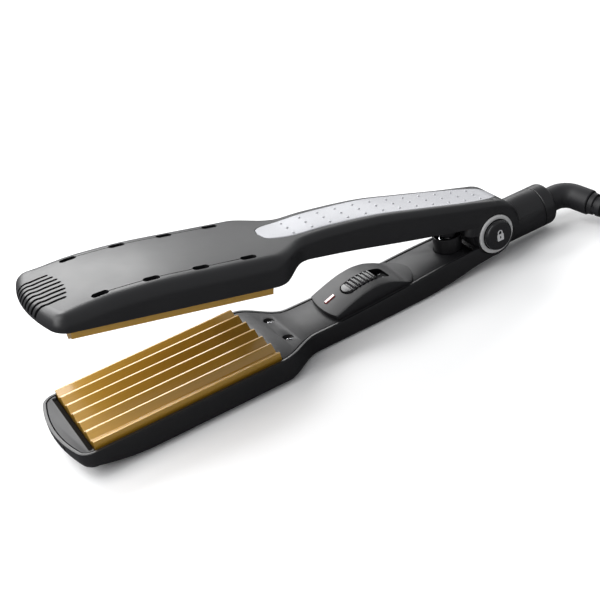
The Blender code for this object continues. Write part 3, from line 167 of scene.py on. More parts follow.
CORD_RADIUS = 3.0
LYING_Z = FLOOR_Z + CORD_RADIUS
LEAD_KNOTS = ((293.0, -64.0), (305.4, -69.6), (320.9, -73.5))
COIL_CENTRE = (343.0, -30.0)
COIL_BASE_Z = -17.0
COIL_TOP_Z = 0.0
COIL_LAYER = 5.4
COIL_TURNS = [  # radius and height of each turn, in the order in which the lead is wound
    (radius, COIL_BASE_Z + CORD_RADIUS + layer * COIL_LAYER)
    for layer, radii in enumerate(((40.2, 34.2, 28.2), (31.2, 37.2), (28.2, 34.2, 40.2)))
    for radius in radii
]
COIL_ENTRY = (262.0, 46.5)  # angle in degrees and radius at which the lead comes in
COIL_FIRST_DEG = 332.0
COIL_LEAVE_DEG = 80.0

LOWER_RIM = [
    (-NOSE_LENGTH, -4.0), (PLATE_LENGTH + 2, -4.0), (PLATE_LENGTH + 22, -7.2), (125, -7.3), (155, -6.3),
    (190, -4.6), (206, -4.4),
]
LOWER_SKIN = [
    (-NOSE_LENGTH, -10.4), (-5, -12.9), (5, -15.5), (16, -17.4), (26, FLOOR_Z), (172, FLOOR_Z),
    (190, -16.6), (206, -13.9), (HINGE_X, HINGE_Z - LOWER_END_RADIUS),
]
LOWER_ROLL = [(PLATE_LENGTH, 6.5), (PLATE_LENGTH + 24, 3.2), (185, 3.0), (206, 2.2)]
UPPER_RIM = [
    (-NOSE_LENGTH, 4.6), (0, 3.9), (PLATE_LENGTH + 6, 3.9), (PLATE_LENGTH + 18, 7.5), (125, 7.4), (175, 5.4),
    (206, 4.3),
]
UPPER_SKIN = [
    (-NOSE_LENGTH, 10.7), (-6.5, 10.7), (0, 12.0), (20, 15.6), (45, 17.2), (PLATE_LENGTH - 5, 17.4),
    (PLATE_LENGTH + 13, 17.7), (125, 19.8), (150, 20.6), (175, 19.1), (200, 17.1),
    (HINGE_X, HINGE_Z + UPPER_END_RADIUS),
]
UPPER_ROLL = [(PLATE_LENGTH, 6.5), (PLATE_LENGTH + 24, 4.0), (190, 3.8), (210, 3.2)]
UPPER_CROWN = [(PLATE_LENGTH + 10, 1.0), (206, 0.0)]
INLAY_HALF_WIDTH = [
    (PLATE_LENGTH + 5, 0.0), (PLATE_LENGTH + 6.3, 4.6), (PLATE_LENGTH + 8.8, 6.8), (PLATE_LENGTH + 14, 8.2),
    (PLATE_LENGTH + 24, 9.0), (140, 9.7), (160, 10.1), (190, 9.8), (206, 9.1), (217, 7.6), (222.5, 4.9),
    (225, 0.0),
]
ARMS = {  # what carries a place to the world, the rim, and the way out through the skin
    "lower": (LOWER, LOWER_RIM, -1),
    "upper": (UPPER, UPPER_RIM, 1),
}


# ---------------------------------------------------------------------------------- form functions
def smooth_curve(knots, x):
    """A smooth value through (x, value) knots, without overshoot, held beyond both ends."""
    if x <= knots[0][0]:
        return knots[0][1]
    if x >= knots[-1][0]:
        return knots[-1][1]
    index = max(i for i, (knot_x, _) in enumerate(knots[:-1]) if knot_x <= x)

    def rise(i):
        return (knots[i + 1][1] - knots[i][1]) / (knots[i + 1][0] - knots[i][0])

    def slope(i):
        if i == 0:
            return rise(0)
        if i == len(knots) - 1:
            return rise(i - 1)
        before, after = rise(i - 1), rise(i)
        return 0.0 if before * after <= 0 else 2 * before * after / (before + after)

    (x0, v0), (x1, v1) = knots[index], knots[index + 1]
    width = x1 - x0
    t = (x - x0) / width
    return (
        v0 * (2 * t**3 - 3 * t**2 + 1)
        + slope(index) * width * (t**3 - 2 * t**2 + t)
        + v1 * (3 * t**2 - 2 * t**3)
        + slope(index + 1) * width * (t**3 - t**2)
    )


def half_width(x):
    """Half an arm's width: the straight head, the shoulder, the slim handle."""
    if x <= PLATE_LENGTH:
        return HEAD_HALF_WIDTH
    if x < HANDLE_START_X:
        fall = (1 - math.cos(math.pi * (x - PLATE_LENGTH) / SHOULDER_LENGTH)) / 2
        return HEAD_HALF_WIDTH + (HANDLE_HALF_WIDTH - HEAD_HALF_WIDTH) * fall
    taper = [(HANDLE_START_X, HANDLE_HALF_WIDTH), (150, 14.7), (180, 14.0), (206, CHEEK_OUTER_Y)]
    return smooth_curve(taper, x)


def arm_stations():
    """Points round one half of an arm, from the nose's tip to the hinge, each with its outward normal."""
    arc_x = NOSE_ARC_RADIUS - NOSE_LENGTH
    corner_y = HEAD_HALF_WIDTH - NOSE_CORNER_RADIUS
    corner_x = arc_x - math.sqrt((NOSE_ARC_RADIUS - NOSE_CORNER_RADIUS) ** 2 - corner_y**2)
    meet = math.atan2(corner_y, arc_x - corner_x)
    stations = []
    for k in range(12):
        angle = meet * k / 12
        normal = (-math.cos(angle), math.sin(angle))
        stations.append((arc_x + NOSE_ARC_RADIUS * normal[0], NOSE_ARC_RADIUS * normal[1], *normal))
    for k in range(15):
        angle = meet + (math.pi / 2 - meet) * k / 14
        normal = (-math.cos(angle), math.sin(angle))
        stations.append((corner_x + NOSE_CORNER_RADIUS * normal[0],
                         corner_y + NOSE_CORNER_RADIUS * normal[1], *normal))
    xs = [corner_x + (PLATE_LENGTH - corner_x) * k / 18 for k in range(1, 18)]
    xs += [PLATE_LENGTH + SHOULDER_LENGTH * k / 20 for k in range(20)]
    xs += [HANDLE_START_X + (HINGE_X - HANDLE_START_X) * k / 34 for k in range(35)]
    for x in xs:
        slope = (half_width(x + 0.01) - half_width(x - 0.01)) / 0.02
        length = math.hypot(slope, 1)
        stations.append((x, half_width(x), -slope / length, 1 / length))
    return stations


def skin_height(skin, x, y):
    """Outer skin: flat across on the lower arm, falling a little towards the sides on the upper."""
    middle = smooth_curve(skin, x)
    if skin is LOWER_SKIN:
        return middle
    return middle - smooth_curve(UPPER_CROWN, x) * (y / half_width(x)) ** 2


def upper_top(x, y):
    """The upper arm's skin, and past the hinge the round end it runs into."""
    if x <= HINGE_X:
        return skin_height(UPPER_SKIN, x, y)
    return HINGE_Z + math.sqrt(UPPER_END_RADIUS**2 - (x - HINGE_X) ** 2)


def ridge_height(y):
    """The corrugation across a plate: straight flanks, rounded valleys and crests with a narrow flat."""
    crest = 0.10  # share of a flank that each rounding takes
    flat = 0.075  # share of half a pitch that half the flat takes
    phase = (abs(y) % RIDGE_PITCH) / RIDGE_PITCH
    fall = max(0.0, (1 - abs(1 - 2 * phase) - flat) / (1 - flat))
    slope = 1 / (1 - crest)
    if fall < crest:
        fall = slope * fall**2 / (2 * crest)
    elif fall > 1 - crest:
        fall = 1 - slope * (1 - fall) ** 2 / (2 * crest)
    else:
        fall = slope * (fall - crest / 2)
    outer = max(0.0, abs(y) - 2.5 * RIDGE_PITCH) / (0.5 * RIDGE_PITCH)
    return -RIDGE_DEPTH * fall - EDGE_DROP * min(outer, 1.0)


def pod_top(x, y):
    """The switch pod's arched and slightly crowned roof."""
    return smooth_curve(POD_ARCH, x) + POD_CROWN * (1 - (y / POD_HALF_WIDTH) ** 2)


# ------------------------------------------------------------------------------- modelling helpers
def select_only(*pieces):
    """Select these pieces and nothing else, the last one active."""
    bpy.ops.object.select_all(action="DESELECT")
    for piece in pieces:
        piece.select_set(True)
    bpy.context.view_layer.objects.active = pieces[-1]


def edit_all(piece, *steps):
    """Run mesh operators, each with its settings, on the whole of a piece in edit mode."""
    select_only(piece)
    bpy.ops.object.mode_set(mode="EDIT")
    bpy.ops.mesh.select_all(action="SELECT")
    for operator, settings in steps:
        operator(**settings)
    bpy.ops.object.mode_set(mode="OBJECT")
    return piece


def weld(piece):
    """Merge doubles and turn the faces of a closed piece outwards."""
    return edit_all(
        piece,
        (bpy.ops.mesh.remove_doubles, {"threshold": WELD_DISTANCE}),
        (bpy.ops.mesh.normals_make_consistent, {"inside": False}),
    )


def named(name):
    """Name the object that an operator has just made, and its mesh."""
    piece = bpy.context.object
    piece.name = name
    piece.data.name = name
    return piece


def modify(piece, kind, **settings):
    """Add a modifier with its settings and apply it."""
    modifier = piece.modifiers.new(kind.lower(), kind)
    for key, value in settings.items():
        setattr(modifier, key, value)
    select_only(piece)
    bpy.ops.object.modifier_apply(modifier=modifier.name)
    return piece


def round_edges(piece, width, angle=40, segments=2):
    """Round every edge sharper than an angle in degrees; the width is in millimetres."""
    return modify(piece, "BEVEL", width=width * MM, segments=segments, limit_method="ANGLE",
                  angle_limit=math.radians(angle), use_clamp_overlap=False)


def combine(piece, other, operation="DIFFERENCE", **settings):
    """Cut a piece by another or join them, and take the other away."""
    modify(piece, "BOOLEAN", object=other, operation=operation, solver="EXACT", **settings)
    bpy.data.objects.remove(other)
    return piece


def cut_with_painted_shade(piece, cutter, **settings):
    """Cut a piece and mark the walls of the cut, which take its second material, a painted shade for the
    inside of the cut.
    """
    for item in (piece, cutter):
        while len(item.data.materials) < 2:
            item.data.materials.append(None)
    for face in cutter.data.polygons:
        face.material_index = 1
    return combine(piece, cutter, **settings)


def joined(name, pieces):
    """Several pieces as one object."""
    select_only(*pieces)
    bpy.ops.object.join()
    return named(name)


def grid_piece(name, across, along, place):
    """A primitive grid whose points go where place(i, j) says, in millimetres."""
    bpy.ops.mesh.primitive_grid_add(x_subdivisions=across, y_subdivisions=along, size=2)
    piece = named(name)
    for vertex in piece.data.vertices:
        i = round((vertex.co.x + 1) / 2 * across)
        j = round((vertex.co.y + 1) / 2 * along)
        vertex.co = Vector(place(i, j)) * MM
    return piece


def thicken(piece, floor):
    """Close an open surface downwards or upwards to a floor given as a function of x and y."""
    select_only(piece)
    bpy.ops.object.mode_set(mode="EDIT")
    bpy.ops.mesh.select_all(action="SELECT")
    bpy.ops.mesh.extrude_region()
    bpy.ops.object.mode_set(mode="OBJECT")
    for vertex in piece.data.vertices:
        if vertex.select:
            vertex.co.z = floor(vertex.co.x / MM, vertex.co.y / MM) * MM
    return weld(piece)


def plank(name, half_outline, top, bottom, across, shift=0.0):
    """A plate over an (x, half width) outline, between two height functions of x and y."""

    def place(i, j):
        x, half = half_outline[j]
        y = shift - half + 2 * half * i / across
        return x, y, top(x, y)

    return thicken(grid_piece(name, across, len(half_outline) - 1, place), bottom)


def outline_face(name, points, fill="NGON"):
    """A filled primitive circle whose points are moved onto an outline, in millimetres."""
    bpy.ops.mesh.primitive_circle_add(vertices=len(points), radius=1, fill_type=fill)
    piece = named(name)
    for vertex, point in zip(piece.data.vertices, points):
        vertex.co = Vector(point) * MM
    return piece


def slab(name, points, shift):
    """An outline extruded along a vector."""
    settings = {"TRANSFORM_OT_translate": {"value": Vector(shift) * MM}}
    return weld(edit_all(outline_face(name, points), (bpy.ops.mesh.extrude_region_move, settings)))


def spun(name, profile, start_deg, end_deg, steps):
    """A (radius, y) profile swept about the hinge; angles run from +X towards +Z."""
    start = math.radians(start_deg)
    corners = [(HINGE_X + r * math.cos(start), y, HINGE_Z + r * math.sin(start)) for r, y in profile]
    settings = {
        "steps": steps, "angle": math.radians(end_deg - start_deg), "axis": (0, 1, 0),
        "center": Vector((HINGE_X, 0, HINGE_Z)) * MM,
    }
    return weld(edit_all(outline_face(name, corners), (bpy.ops.mesh.spin, settings)))


def turned(name, profile, steps, place=Matrix.Identity(4)):
    """A closed (radius, height) profile turned about Z, in millimetres, then put in its place."""
    corners = [(r, 0, z) for r, z in profile]
    settings = {"steps": steps, "angle": 2 * math.pi, "axis": (0, 0, 1), "center": (0, 0, 0)}
    piece = weld(edit_all(outline_face(name, corners, "NOTHING"), (bpy.ops.mesh.spin, settings)))
    edit_all(piece, (bpy.ops.mesh.delete_loose, {}))
    piece.data.transform(place)
    return piece


def placed(centre, direction):
    """Where a turned piece goes: its Z along a direction, its origin at a centre in millimetres."""
    turn = Vector(direction).to_track_quat("Z", "Y").to_matrix().to_4x4()
    return Matrix.Translation(Vector(centre) * MM) @ turn


def quarter_round(across, up, radius, steps):
    """Profile points round a centre, from straight across to straight up."""
    angles = [math.pi / 2 * k / steps for k in range(steps + 1)]
    return [(across + radius * math.cos(angle), up + radius * math.sin(angle)) for angle in angles]


def rectangle(low_x, high_x, low_y, high_y, z):
    """The corners of a level rectangle."""
    return [(low_x, low_y, z), (high_x, low_y, z), (high_x, high_y, z), (low_x, high_y, z)]


def obround(x, y, length, width, z):
    """A slot outline with round ends along X."""
    steps = 10
    points = []
    for end in (1, -1):
        for k in range(steps + 1):
            angle = math.pi * (k / steps - 0.5 * end)
            points.append((x + end * (length - width) / 2 + width / 2 * math.cos(angle),
                           y + width / 2 * math.sin(angle), z))
    return points


def obround_upright(x, z, width, height, y):
    """A slot outline with round ends along Z."""
    steps = 8
    points = []
    for end in (1, -1):
        for k in range(steps + 1):
            angle = math.pi * k / steps + (0 if end > 0 else math.pi)
            points.append((x + width / 2 * math.cos(angle), y,
                           z + end * (height - width) / 2 + width / 2 * math.sin(angle)))
    return points


def pipe(name, points, radius, fineness):
    """A round pipe along a poly line of places in metres, kept as a curve; its radius is in millimetres."""
    data = bpy.data.curves.new(name, "CURVE")
    data.dimensions = "3D"
    data.bevel_depth = radius * MM
    data.bevel_resolution = fineness
    data.use_fill_caps = True
    spline = data.splines.new("POLY")
    spline.points.add(len(points) - 1)
    for point, place in zip(spline.points, points):
        point.co = (*place, 1.0)
    piece = bpy.data.objects.new(name, data)
    bpy.context.scene.collection.objects.link(piece)
    return piece


def pipe_mesh(name, points, radius, fineness):
    """The same pipe as a closed mesh."""
    select_only(pipe(name, points, radius, fineness))
    bpy.ops.object.convert(target="MESH")
    return weld(named(name))


def smooth_route(knots, per_span):
    """Points of a Catmull-Rom curve through knots."""
    knots = [Vector(knot) for knot in knots]
    padded = [2 * knots[0] - knots[1], *knots, 2 * knots[-1] - knots[-2]]
    route = []
    for a, b, c, d in zip(padded, padded[1:], padded[2:], padded[3:]):
        for k in range(per_span):
            t = k / per_span
            route.append(0.5 * (2 * b + (c - a) * t + (2 * a - 5 * b + 4 * c - d) * t**2
                                + (3 * b - a - 3 * c + d) * t**3))
    return [*route, knots[-1]]


def softened(node, width, segments=2):
    """A welded copy of a CAD piece with its flat faces joined and its edges rounded, if a width is given."""
    piece = bpy.data.objects.new(f"{node}_fine", frame["nodes"][node].data.copy())
    bpy.context.scene.collection.objects.link(piece)
    piece.data.materials.clear()
    edit_all(
        piece,
        (bpy.ops.mesh.remove_doubles, {"threshold": WELD_DISTANCE}),
        (bpy.ops.mesh.dissolve_limited, {"angle_limit": math.radians(0.6)}),
    )
    if width:
        round_edges(piece, width, segments=segments)
    return piece


def finish_piece(piece, body, paint, slot, *nodes, smooth=35):
    """Shade a finished piece, give it its material or materials, tie it to its body, and hide the CAD nodes
    it takes the place of.
    """
    if piece.type == "MESH":
        select_only(piece)
        bpy.ops.object.shade_smooth_by_angle(angle=math.radians(smooth))
    paints = [paint] if isinstance(paint, str) else list(paint)
    held = piece.data.materials
    while len(held) < len(paints):
        held.append(None)
    while len(held) > len(paints):
        held.pop()
    for index, label in enumerate(paints):
        held[index] = bpy.data.materials[label]
    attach(piece, body)
    if nodes:
        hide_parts(*nodes)
    return piece


# -------------------------------------------------------------------------------- shader helpers
def shader_group(name, inputs, outputs):
    """An empty shader group with named sockets; gives the tree, its input and its output node."""
    tree = bpy.data.node_groups.new(name, "ShaderNodeTree")
    for label, kind, value in inputs:
        socket = tree.interface.new_socket(label, in_out="INPUT", socket_type=kind)
        if value is not None:
            socket.default_value = value
    for label, kind in outputs:
        tree.interface.new_socket(label, in_out="OUTPUT", socket_type=kind)
    return tree, tree.nodes.new("NodeGroupInput"), tree.nodes.new("NodeGroupOutput")


def maths(tree, operation, first, second):
    """A Math node fed by sockets or plain numbers."""
    node = tree.nodes.new("ShaderNodeMath")
    node.operation = operation
    for socket, value in zip(node.inputs, (first, second)):
        if isinstance(value, bpy.types.NodeSocket):
            tree.links.new(value, socket)
        else:
            socket.default_value = value
    return node.outputs[0]


def blend(tree, first, first_share, second, second_share):
    """Two values added in given shares."""
    return maths(tree, "ADD", maths(tree, "MULTIPLY", first, first_share),
                 maths(tree, "MULTIPLY", second, second_share))


def noise(tree, vector, scale, detail, rough=0.5):
    """A Noise node's value, with its vector and its features per metre from sockets."""
    node = tree.nodes.new("ShaderNodeTexNoise")
    node.inputs["Detail"].default_value = detail
    node.inputs["Roughness"].default_value = rough
    tree.links.new(vector, node.inputs["Vector"])
    tree.links.new(scale, node.inputs["Scale"])
    return node.outputs["Fac"]


def ramp(tree, value, low, high, start=0.0, end=1.0):
    """Map a value from one range to another, clamped."""
    node = tree.nodes.new("ShaderNodeMapRange")
    for label, number in (("From Min", start), ("From Max", end), ("To Min", low), ("To Max", high)):
        node.inputs[label].default_value = number
    tree.links.new(value, node.inputs["Value"])
    return node.outputs["Result"]


def make_grain_group():
    """Spark-eroded mould grain: a height and a faint speckle."""
    tree, given, out = shader_group(
        "mould_grain",
        [("Place", "NodeSocketVector", None), ("Grain per metre", "NodeSocketFloat", 2600.0)],
        [("Height", "NodeSocketFloat"), ("Speckle", "NodeSocketFloat")],
    )
    fine = noise(tree, given.outputs["Place"], given.outputs["Grain per metre"], 3.0, 0.6)
    coarse = noise(tree, given.outputs["Place"], maths(tree, "MULTIPLY", given.outputs[1], 0.35), 2.0)
    tree.links.new(blend(tree, fine, 0.7, coarse, 0.3), out.inputs["Height"])
    tree.links.new(ramp(tree, fine, 0.0, 1.0, 0.55, 0.75), out.inputs["Speckle"])


def make_handling_group():
    """Where hands have polished or dulled a surface: soft patches and faint streaks, 0 to 1."""
    tree, given, out = shader_group(
        "handling",
        [("Place", "NodeSocketVector", None), ("Patch per metre", "NodeSocketFloat", 24.0)],
        [("Mask", "NodeSocketFloat")],
    )
    patches = noise(tree, given.outputs["Place"], given.outputs["Patch per metre"], 4.0, 0.6)
    streaks = noise(tree, given.outputs["Place"], maths(tree, "MULTIPLY", given.outputs[1], 6.0), 3.0)
    mixed = blend(tree, patches, 0.75, streaks, 0.25)
    tree.links.new(ramp(tree, mixed, 0.0, 1.0, 0.35, 0.65), out.inputs["Mask"])


def make_drawn_group():
    """Fine lines along X, as on extruded or brushed metal: a height and a mask."""
    tree, given, out = shader_group(
        "drawn_lines",
        [("Place", "NodeSocketVector", None), ("Lines per metre", "NodeSocketFloat", 3000.0)],
        [("Height", "NodeSocketFloat"), ("Mask", "NodeSocketFloat")],
    )
    stretch = tree.nodes.new("ShaderNodeVectorMath")
    stretch.operation = "MULTIPLY"
    stretch.inputs[1].default_value = (0.02, 1.0, 1.0)
    tree.links.new(given.outputs["Place"], stretch.inputs[0])
    lines = noise(tree, stretch.outputs[0], given.outputs["Lines per metre"], 2.0, 0.7)
    tree.links.new(lines, out.inputs["Height"])
    tree.links.new(ramp(tree, lines, 0.0, 1.0, 0.4, 0.7), out.inputs["Mask"])


def place_group(tree, group, vector, **values):
    """Put a shader group in a material's tree with its own values."""
    node = tree.nodes.new("ShaderNodeGroup")
    node.node_tree = bpy.data.node_groups[group]
    tree.links.new(vector, node.inputs["Place"])
    for label, value in values.items():
        node.inputs[label.replace("_", " ")].default_value = value
    return node


def mixed_colour(tree, factor, first, second):
    """A colour between two, by a factor."""
    node = tree.nodes.new("ShaderNodeMix")
    node.data_type = "RGBA"
    node.inputs["A"].default_value = (*first, 1.0)
    node.inputs["B"].default_value = (*second, 1.0)
    tree.links.new(factor, node.inputs["Factor"])
    return node.outputs["Result"]


def material_start(name, coat, metallic=0.0, specular=0.5):
    """A Principled material: its tree, its shader and its Object coordinates."""
    made = bpy.data.materials.new(name)
    made.use_nodes = True
    tree = made.node_tree
    shader = tree.nodes["Principled BSDF"]
    shader.inputs["Metallic"].default_value = metallic
    shader.inputs["Specular IOR Level"].default_value = specular
    shader.inputs["Coat Weight"].default_value = coat
    shader.inputs["Coat Roughness"].default_value = 0.16
    shader.inputs["Coat IOR"].default_value = 1.9
    return tree, shader, tree.nodes.new("ShaderNodeTexCoord").outputs["Object"]


def bump(tree, shader, height, depth_mm):
    """Relief in the shading only, of a depth in millimetres."""
    node = tree.nodes.new("ShaderNodeBump")
    node.inputs["Strength"].default_value = 1.0
    node.inputs["Distance"].default_value = depth_mm * MM
    tree.links.new(height, node.inputs["Height"])
    tree.links.new(node.outputs["Normal"], shader.inputs["Normal"])


def colour_and_sheen(tree, shader, shades, handled, rough):
    """Base colour between two shades by a factor, and roughness between two values by handling."""
    tree.links.new(mixed_colour(tree, *shades), shader.inputs["Base Color"])
    tree.links.new(ramp(tree, handled.outputs["Mask"], *rough), shader.inputs["Roughness"])


def plastic(name, colour, rough, depth, grain=2600.0, specular=0.5, coat=0.0, lift=1.35):
    """Moulded plastic or rubber: grained, a little uneven in tone, dulled and polished in patches."""
    tree, shader, place = material_start(name, specular=specular, coat=coat)
    grained = place_group(tree, "mould_grain", place, Grain_per_metre=grain)
    handled = place_group(tree, "handling", place, Patch_per_metre=24.0)
    lighter = tuple(channel * lift for channel in colour)
    tone = blend(tree, handled.outputs["Mask"], 0.6, grained.outputs["Speckle"], 0.4)
    colour_and_sheen(tree, shader, (tone, colour, lighter), handled, (rough * 0.92, rough * 1.1))
    bump(tree, shader, grained.outputs["Height"], depth)


def drawn_metal(name, colour, rough, lines, depth, metallic=1.0, lift=1.12, coat=0.0):
    """Metal with fine lines along X and soft patches in its sheen."""
    tree, shader, place = material_start(name, metallic=metallic, coat=coat)
    drawn = place_group(tree, "drawn_lines", place, Lines_per_metre=lines)
    handled = place_group(tree, "handling", place, Patch_per_metre=40.0)
    lighter = tuple(min(1.0, channel * lift) for channel in colour)
    shades = (drawn.outputs["Mask"], colour, lighter)
    colour_and_sheen(tree, shader, shades, handled, (rough * 0.94, rough * 1.08))
    bump(tree, shader, drawn.outputs["Height"], depth)


def lacquer(name, colour, rough, metallic, coat):
    """Silver lacquer: fine metal flakes, under a clear coat where its weight is above zero."""
    tree, shader, place = material_start(name, metallic=metallic, coat=coat)
    flakes = tree.nodes.new("ShaderNodeTexVoronoi")
    flakes.inputs["Scale"].default_value = 3800.0  # flakes per metre
    tree.links.new(place, flakes.inputs["Vector"])
    glint = ramp(tree, flakes.outputs["Distance"], 1.0, 0.0, 0.1, 0.6)
    handled = place_group(tree, "handling", place, Patch_per_metre=30.0)
    darker = tuple(channel * 0.88 for channel in colour)
    colour_and_sheen(tree, shader, (glint, darker, colour), handled, (rough * 0.9, rough * 1.15))
    bump(tree, shader, glint, 0.003)


# ---------------------------------------------------------------------------------- user settings
class CrimperFinish(bpy.types.PropertyGroup):
    """Colours and sheens of the crimper."""

    shell: bpy.props.FloatVectorProperty(
        name="Shell", description="Charcoal of both housings", subtype="COLOR", size=3,
        default=(0.0085, 0.0085, 0.0095), min=0, max=1)
    cover: bpy.props.FloatVectorProperty(
        name="Cover", description="Charcoal of the inner covers and the switch pod", subtype="COLOR", size=3,
        default=(0.011, 0.011, 0.0125), min=0, max=1)
    gold: bpy.props.FloatVectorProperty(
        name="Gold", description="Coating of the heating plates", subtype="COLOR", size=3,
        default=(0.43, 0.235, 0.018), min=0, max=1)
    silver: bpy.props.FloatVectorProperty(
        name="Silver", description="Lacquer of the grip inlay", subtype="COLOR", size=3,
        default=(0.50, 0.505, 0.53), min=0, max=1)
    ring: bpy.props.FloatVectorProperty(
        name="Ring", description="Matt silver of the rings round the lock buttons", subtype="COLOR", size=3,
        default=(0.56, 0.56, 0.56), min=0, max=1)
    shell_roughness: bpy.props.FloatProperty(
        name="Shell roughness", description="How dull the housings are", subtype="FACTOR",
        default=0.36, min=0, max=1)
    plate_roughness: bpy.props.FloatProperty(
        name="Plate roughness", description="How dull the gold plates are", subtype="FACTOR",
        default=0.45, min=0, max=1)


class CrimperDetail(bpy.types.PropertyGroup):
    """Sizes of the fine detail."""

    groove_width: bpy.props.FloatProperty(
        name="Groove width", description="Width of the fine groove that links the vents",
        subtype="DISTANCE", unit="LENGTH", default=0.45 * MM, min=0.0001, precision=5)
    groove_depth: bpy.props.FloatProperty(
        name="Groove depth", description="Depth of the fine groove that links the vents",
        subtype="DISTANCE", unit="LENGTH", default=0.4 * MM, min=0.0001, precision=5)
    dot_radius: bpy.props.FloatProperty(
        name="Grip dot", description="Radius of a dot on the grip inlay",
        subtype="DISTANCE", unit="LENGTH", default=0.62 * MM, min=0.0001, precision=5)
    dot_columns: bpy.props.IntProperty(
        name="Dot columns", description="Dots in each of the inlay's three rows", default=12, min=1, max=20)
    slider_ribs: bpy.props.IntProperty(
        name="Slider ribs", description="Grip ribs on the power slider", default=6, min=2, max=12)


class CrimperCord(bpy.types.PropertyGroup):
    """The mains lead."""

    length: bpy.props.FloatProperty(
        name="Length", description="Length of the lead from the strain relief to the plug",
        subtype="DISTANCE", unit="LENGTH", default=1.8, min=0.5, max=4)
    diameter: bpy.props.FloatProperty(
        name="Diameter", description="Thickness of the lead",
        subtype="DISTANCE", unit="LENGTH", default=0.006, min=0.003, max=0.01)
    points_per_turn: bpy.props.IntProperty(
        name="Points per turn", description="How finely a turn of the coil is drawn",
        default=40, min=12, max=90)


class CrimperStudio(bpy.types.PropertyGroup):
    """Camera and lights."""

    camera_place: bpy.props.FloatVectorProperty(
        name="Camera", description="Where the camera stands, from the nose end of the lower plate",
        subtype="TRANSLATION", size=3, default=(-0.066860, -0.420620, 0.280920))
    heading: bpy.props.FloatProperty(
        name="Heading", description="Way the camera looks, from +Y towards +X", subtype="ANGLE",
        default=math.radians(23.42))
    drop: bpy.props.FloatProperty(
        name="Drop", description="How far the camera looks down", subtype="ANGLE",
        default=math.radians(31.165))
    roll: bpy.props.FloatProperty(
        name="Roll", description="How far the camera leans over", subtype="ANGLE",
        default=math.radians(-12.342))
    focal_length: bpy.props.FloatProperty(
        name="Focal length", description="Focal length of the lens, in millimetres",
        default=69.65, min=20, max=200)
    ambient: bpy.props.FloatProperty(
        name="Ambient", description="Strength of the room's even light", default=0.42, min=0, max=4)
    back_light: bpy.props.FloatProperty(
        name="Back light", description="Power of the softbox behind the crimper, in watts",
        default=17.0, min=0)
    fill_light: bpy.props.FloatProperty(
        name="Fill light", description="Power of the small softbox at the right, in watts",
        default=2.0, min=0)
    top_light: bpy.props.FloatProperty(
        name="Top light", description="Power of the softbox overhead, in watts", default=10.0, min=0)
    side_light: bpy.props.FloatProperty(
        name="Side light", description="Power of the softbox on the left, in watts", default=5.0, min=0)


# ------------------------------------------------------------------------------------- operators
class CRIMPER_OT_finishes(bpy.types.Operator):
    """Make every material of the crimper"""

    bl_idname = "crimper.finishes"
    bl_label = "Finishes"

    def execute(self, context):
        make_grain_group()
        make_handling_group()
        make_drawn_group()
        finish = context.scene.crimper_finish
        plastic("satin_shell", finish.shell, finish.shell_roughness, depth=0.012, specular=0.5)
        plastic("grained_cover", finish.cover, 0.46, grain=1900.0, depth=0.03, specular=0.45)
        plastic("gloss_button", (0.010, 0.010, 0.011), 0.24, depth=0.003, specular=0.5)
        plastic("soft_rubber", (0.010, 0.010, 0.0115), 0.50, grain=1500.0, depth=0.01, specular=0.45)
        plastic("cord_rubber", (0.012, 0.012, 0.013), 0.50, grain=900.0, depth=0.012, specular=0.4)
        plastic("mark_paint", (0.42, 0.42, 0.43), 0.55, depth=0.002, lift=1.1)
        # painted shade: near-black paint for the walls of cuts, standing in for the shade inside them
        plastic("painted_recess_shade", (0.005, 0.005, 0.006), 0.7, depth=0.01, specular=0.2)
        plastic("board_green", (0.03, 0.16, 0.06), 0.45, depth=0.01)
        plastic("heater_block", (0.50, 0.47, 0.42), 0.6, depth=0.02, lift=1.1)
        plastic("lens_red", (0.42, 0.055, 0.05), 0.10, depth=0.001, specular=0.8, coat=1.0, lift=1.2)
        drawn_metal("gold_coat", finish.gold, finish.plate_roughness, lines=1600.0, depth=0.0003, lift=1.06,
                    metallic=0.35, coat=0.8)
        drawn_metal("bright_steel", (0.66, 0.66, 0.68), 0.14, lines=1500.0, depth=0.001)
        drawn_metal("brass_pin", (0.72, 0.53, 0.25), 0.22, lines=2000.0, depth=0.002)
        lacquer("silver_lacquer", finish.silver, 0.40, 0.45, 0.15)
        lacquer("matt_silver", finish.ring, 0.45, 0.3, 0.0)
        return {"FINISHED"}


def housing(name, rim, skin, roll, up):
    """A moulded housing, whose columns run up one side wall, over the skin and down the other."""
    stations = arm_stations()
    wall_steps, roll_steps, crown_steps = 3, 9, 22
    edge_steps = wall_steps + roll_steps
    columns = 2 * edge_steps + crown_steps

    def place(i, j):
        x, y, nx, ny = stations[j]
        side = up if i <= edge_steps else -up
        rim_z = smooth_curve(rim, x)
        radius = smooth_curve(roll, x)
        top_z = skin_height(skin, x - nx * radius, y - ny * radius)
        radius = min(radius, 0.8 * abs(top_z - rim_z))
        top_z = skin_height(skin, x - nx * radius, y - ny * radius)
        edge = min(i, columns - i)
        if edge <= wall_steps:
            return x, side * y, rim_z + (top_z - up * radius - rim_z) * edge / wall_steps
        if edge <= edge_steps:
            angle = math.pi / 2 * (edge - wall_steps) / roll_steps
            inward = radius * (1 - math.cos(angle))
            return x - nx * inward, side * (y - ny * inward), top_z - up * radius * (1 - math.sin(angle))
        inner_x, half = x - nx * radius, y - ny * radius
        across = up * half * (1 - 2 * (i - edge_steps) / crown_steps)
        return inner_x, across, skin_height(skin, inner_x, across)

    piece = grid_piece(name, columns, len(stations) - 1, place)
    edit_all(piece, (bpy.ops.mesh.remove_doubles, {"threshold": WELD_DISTANCE}))
    modify(piece, "SOLIDIFY", thickness=WALL * MM, offset=-1.0, use_even_offset=True)
    return round_edges(piece, 0.3, angle=60)


def rolled_corner(outer, roll):
    """A (radius, y) quarter round between an arm's round end and its cheek."""
    return quarter_round(outer - roll, CHEEK_OUTER_Y - roll, roll, 8)


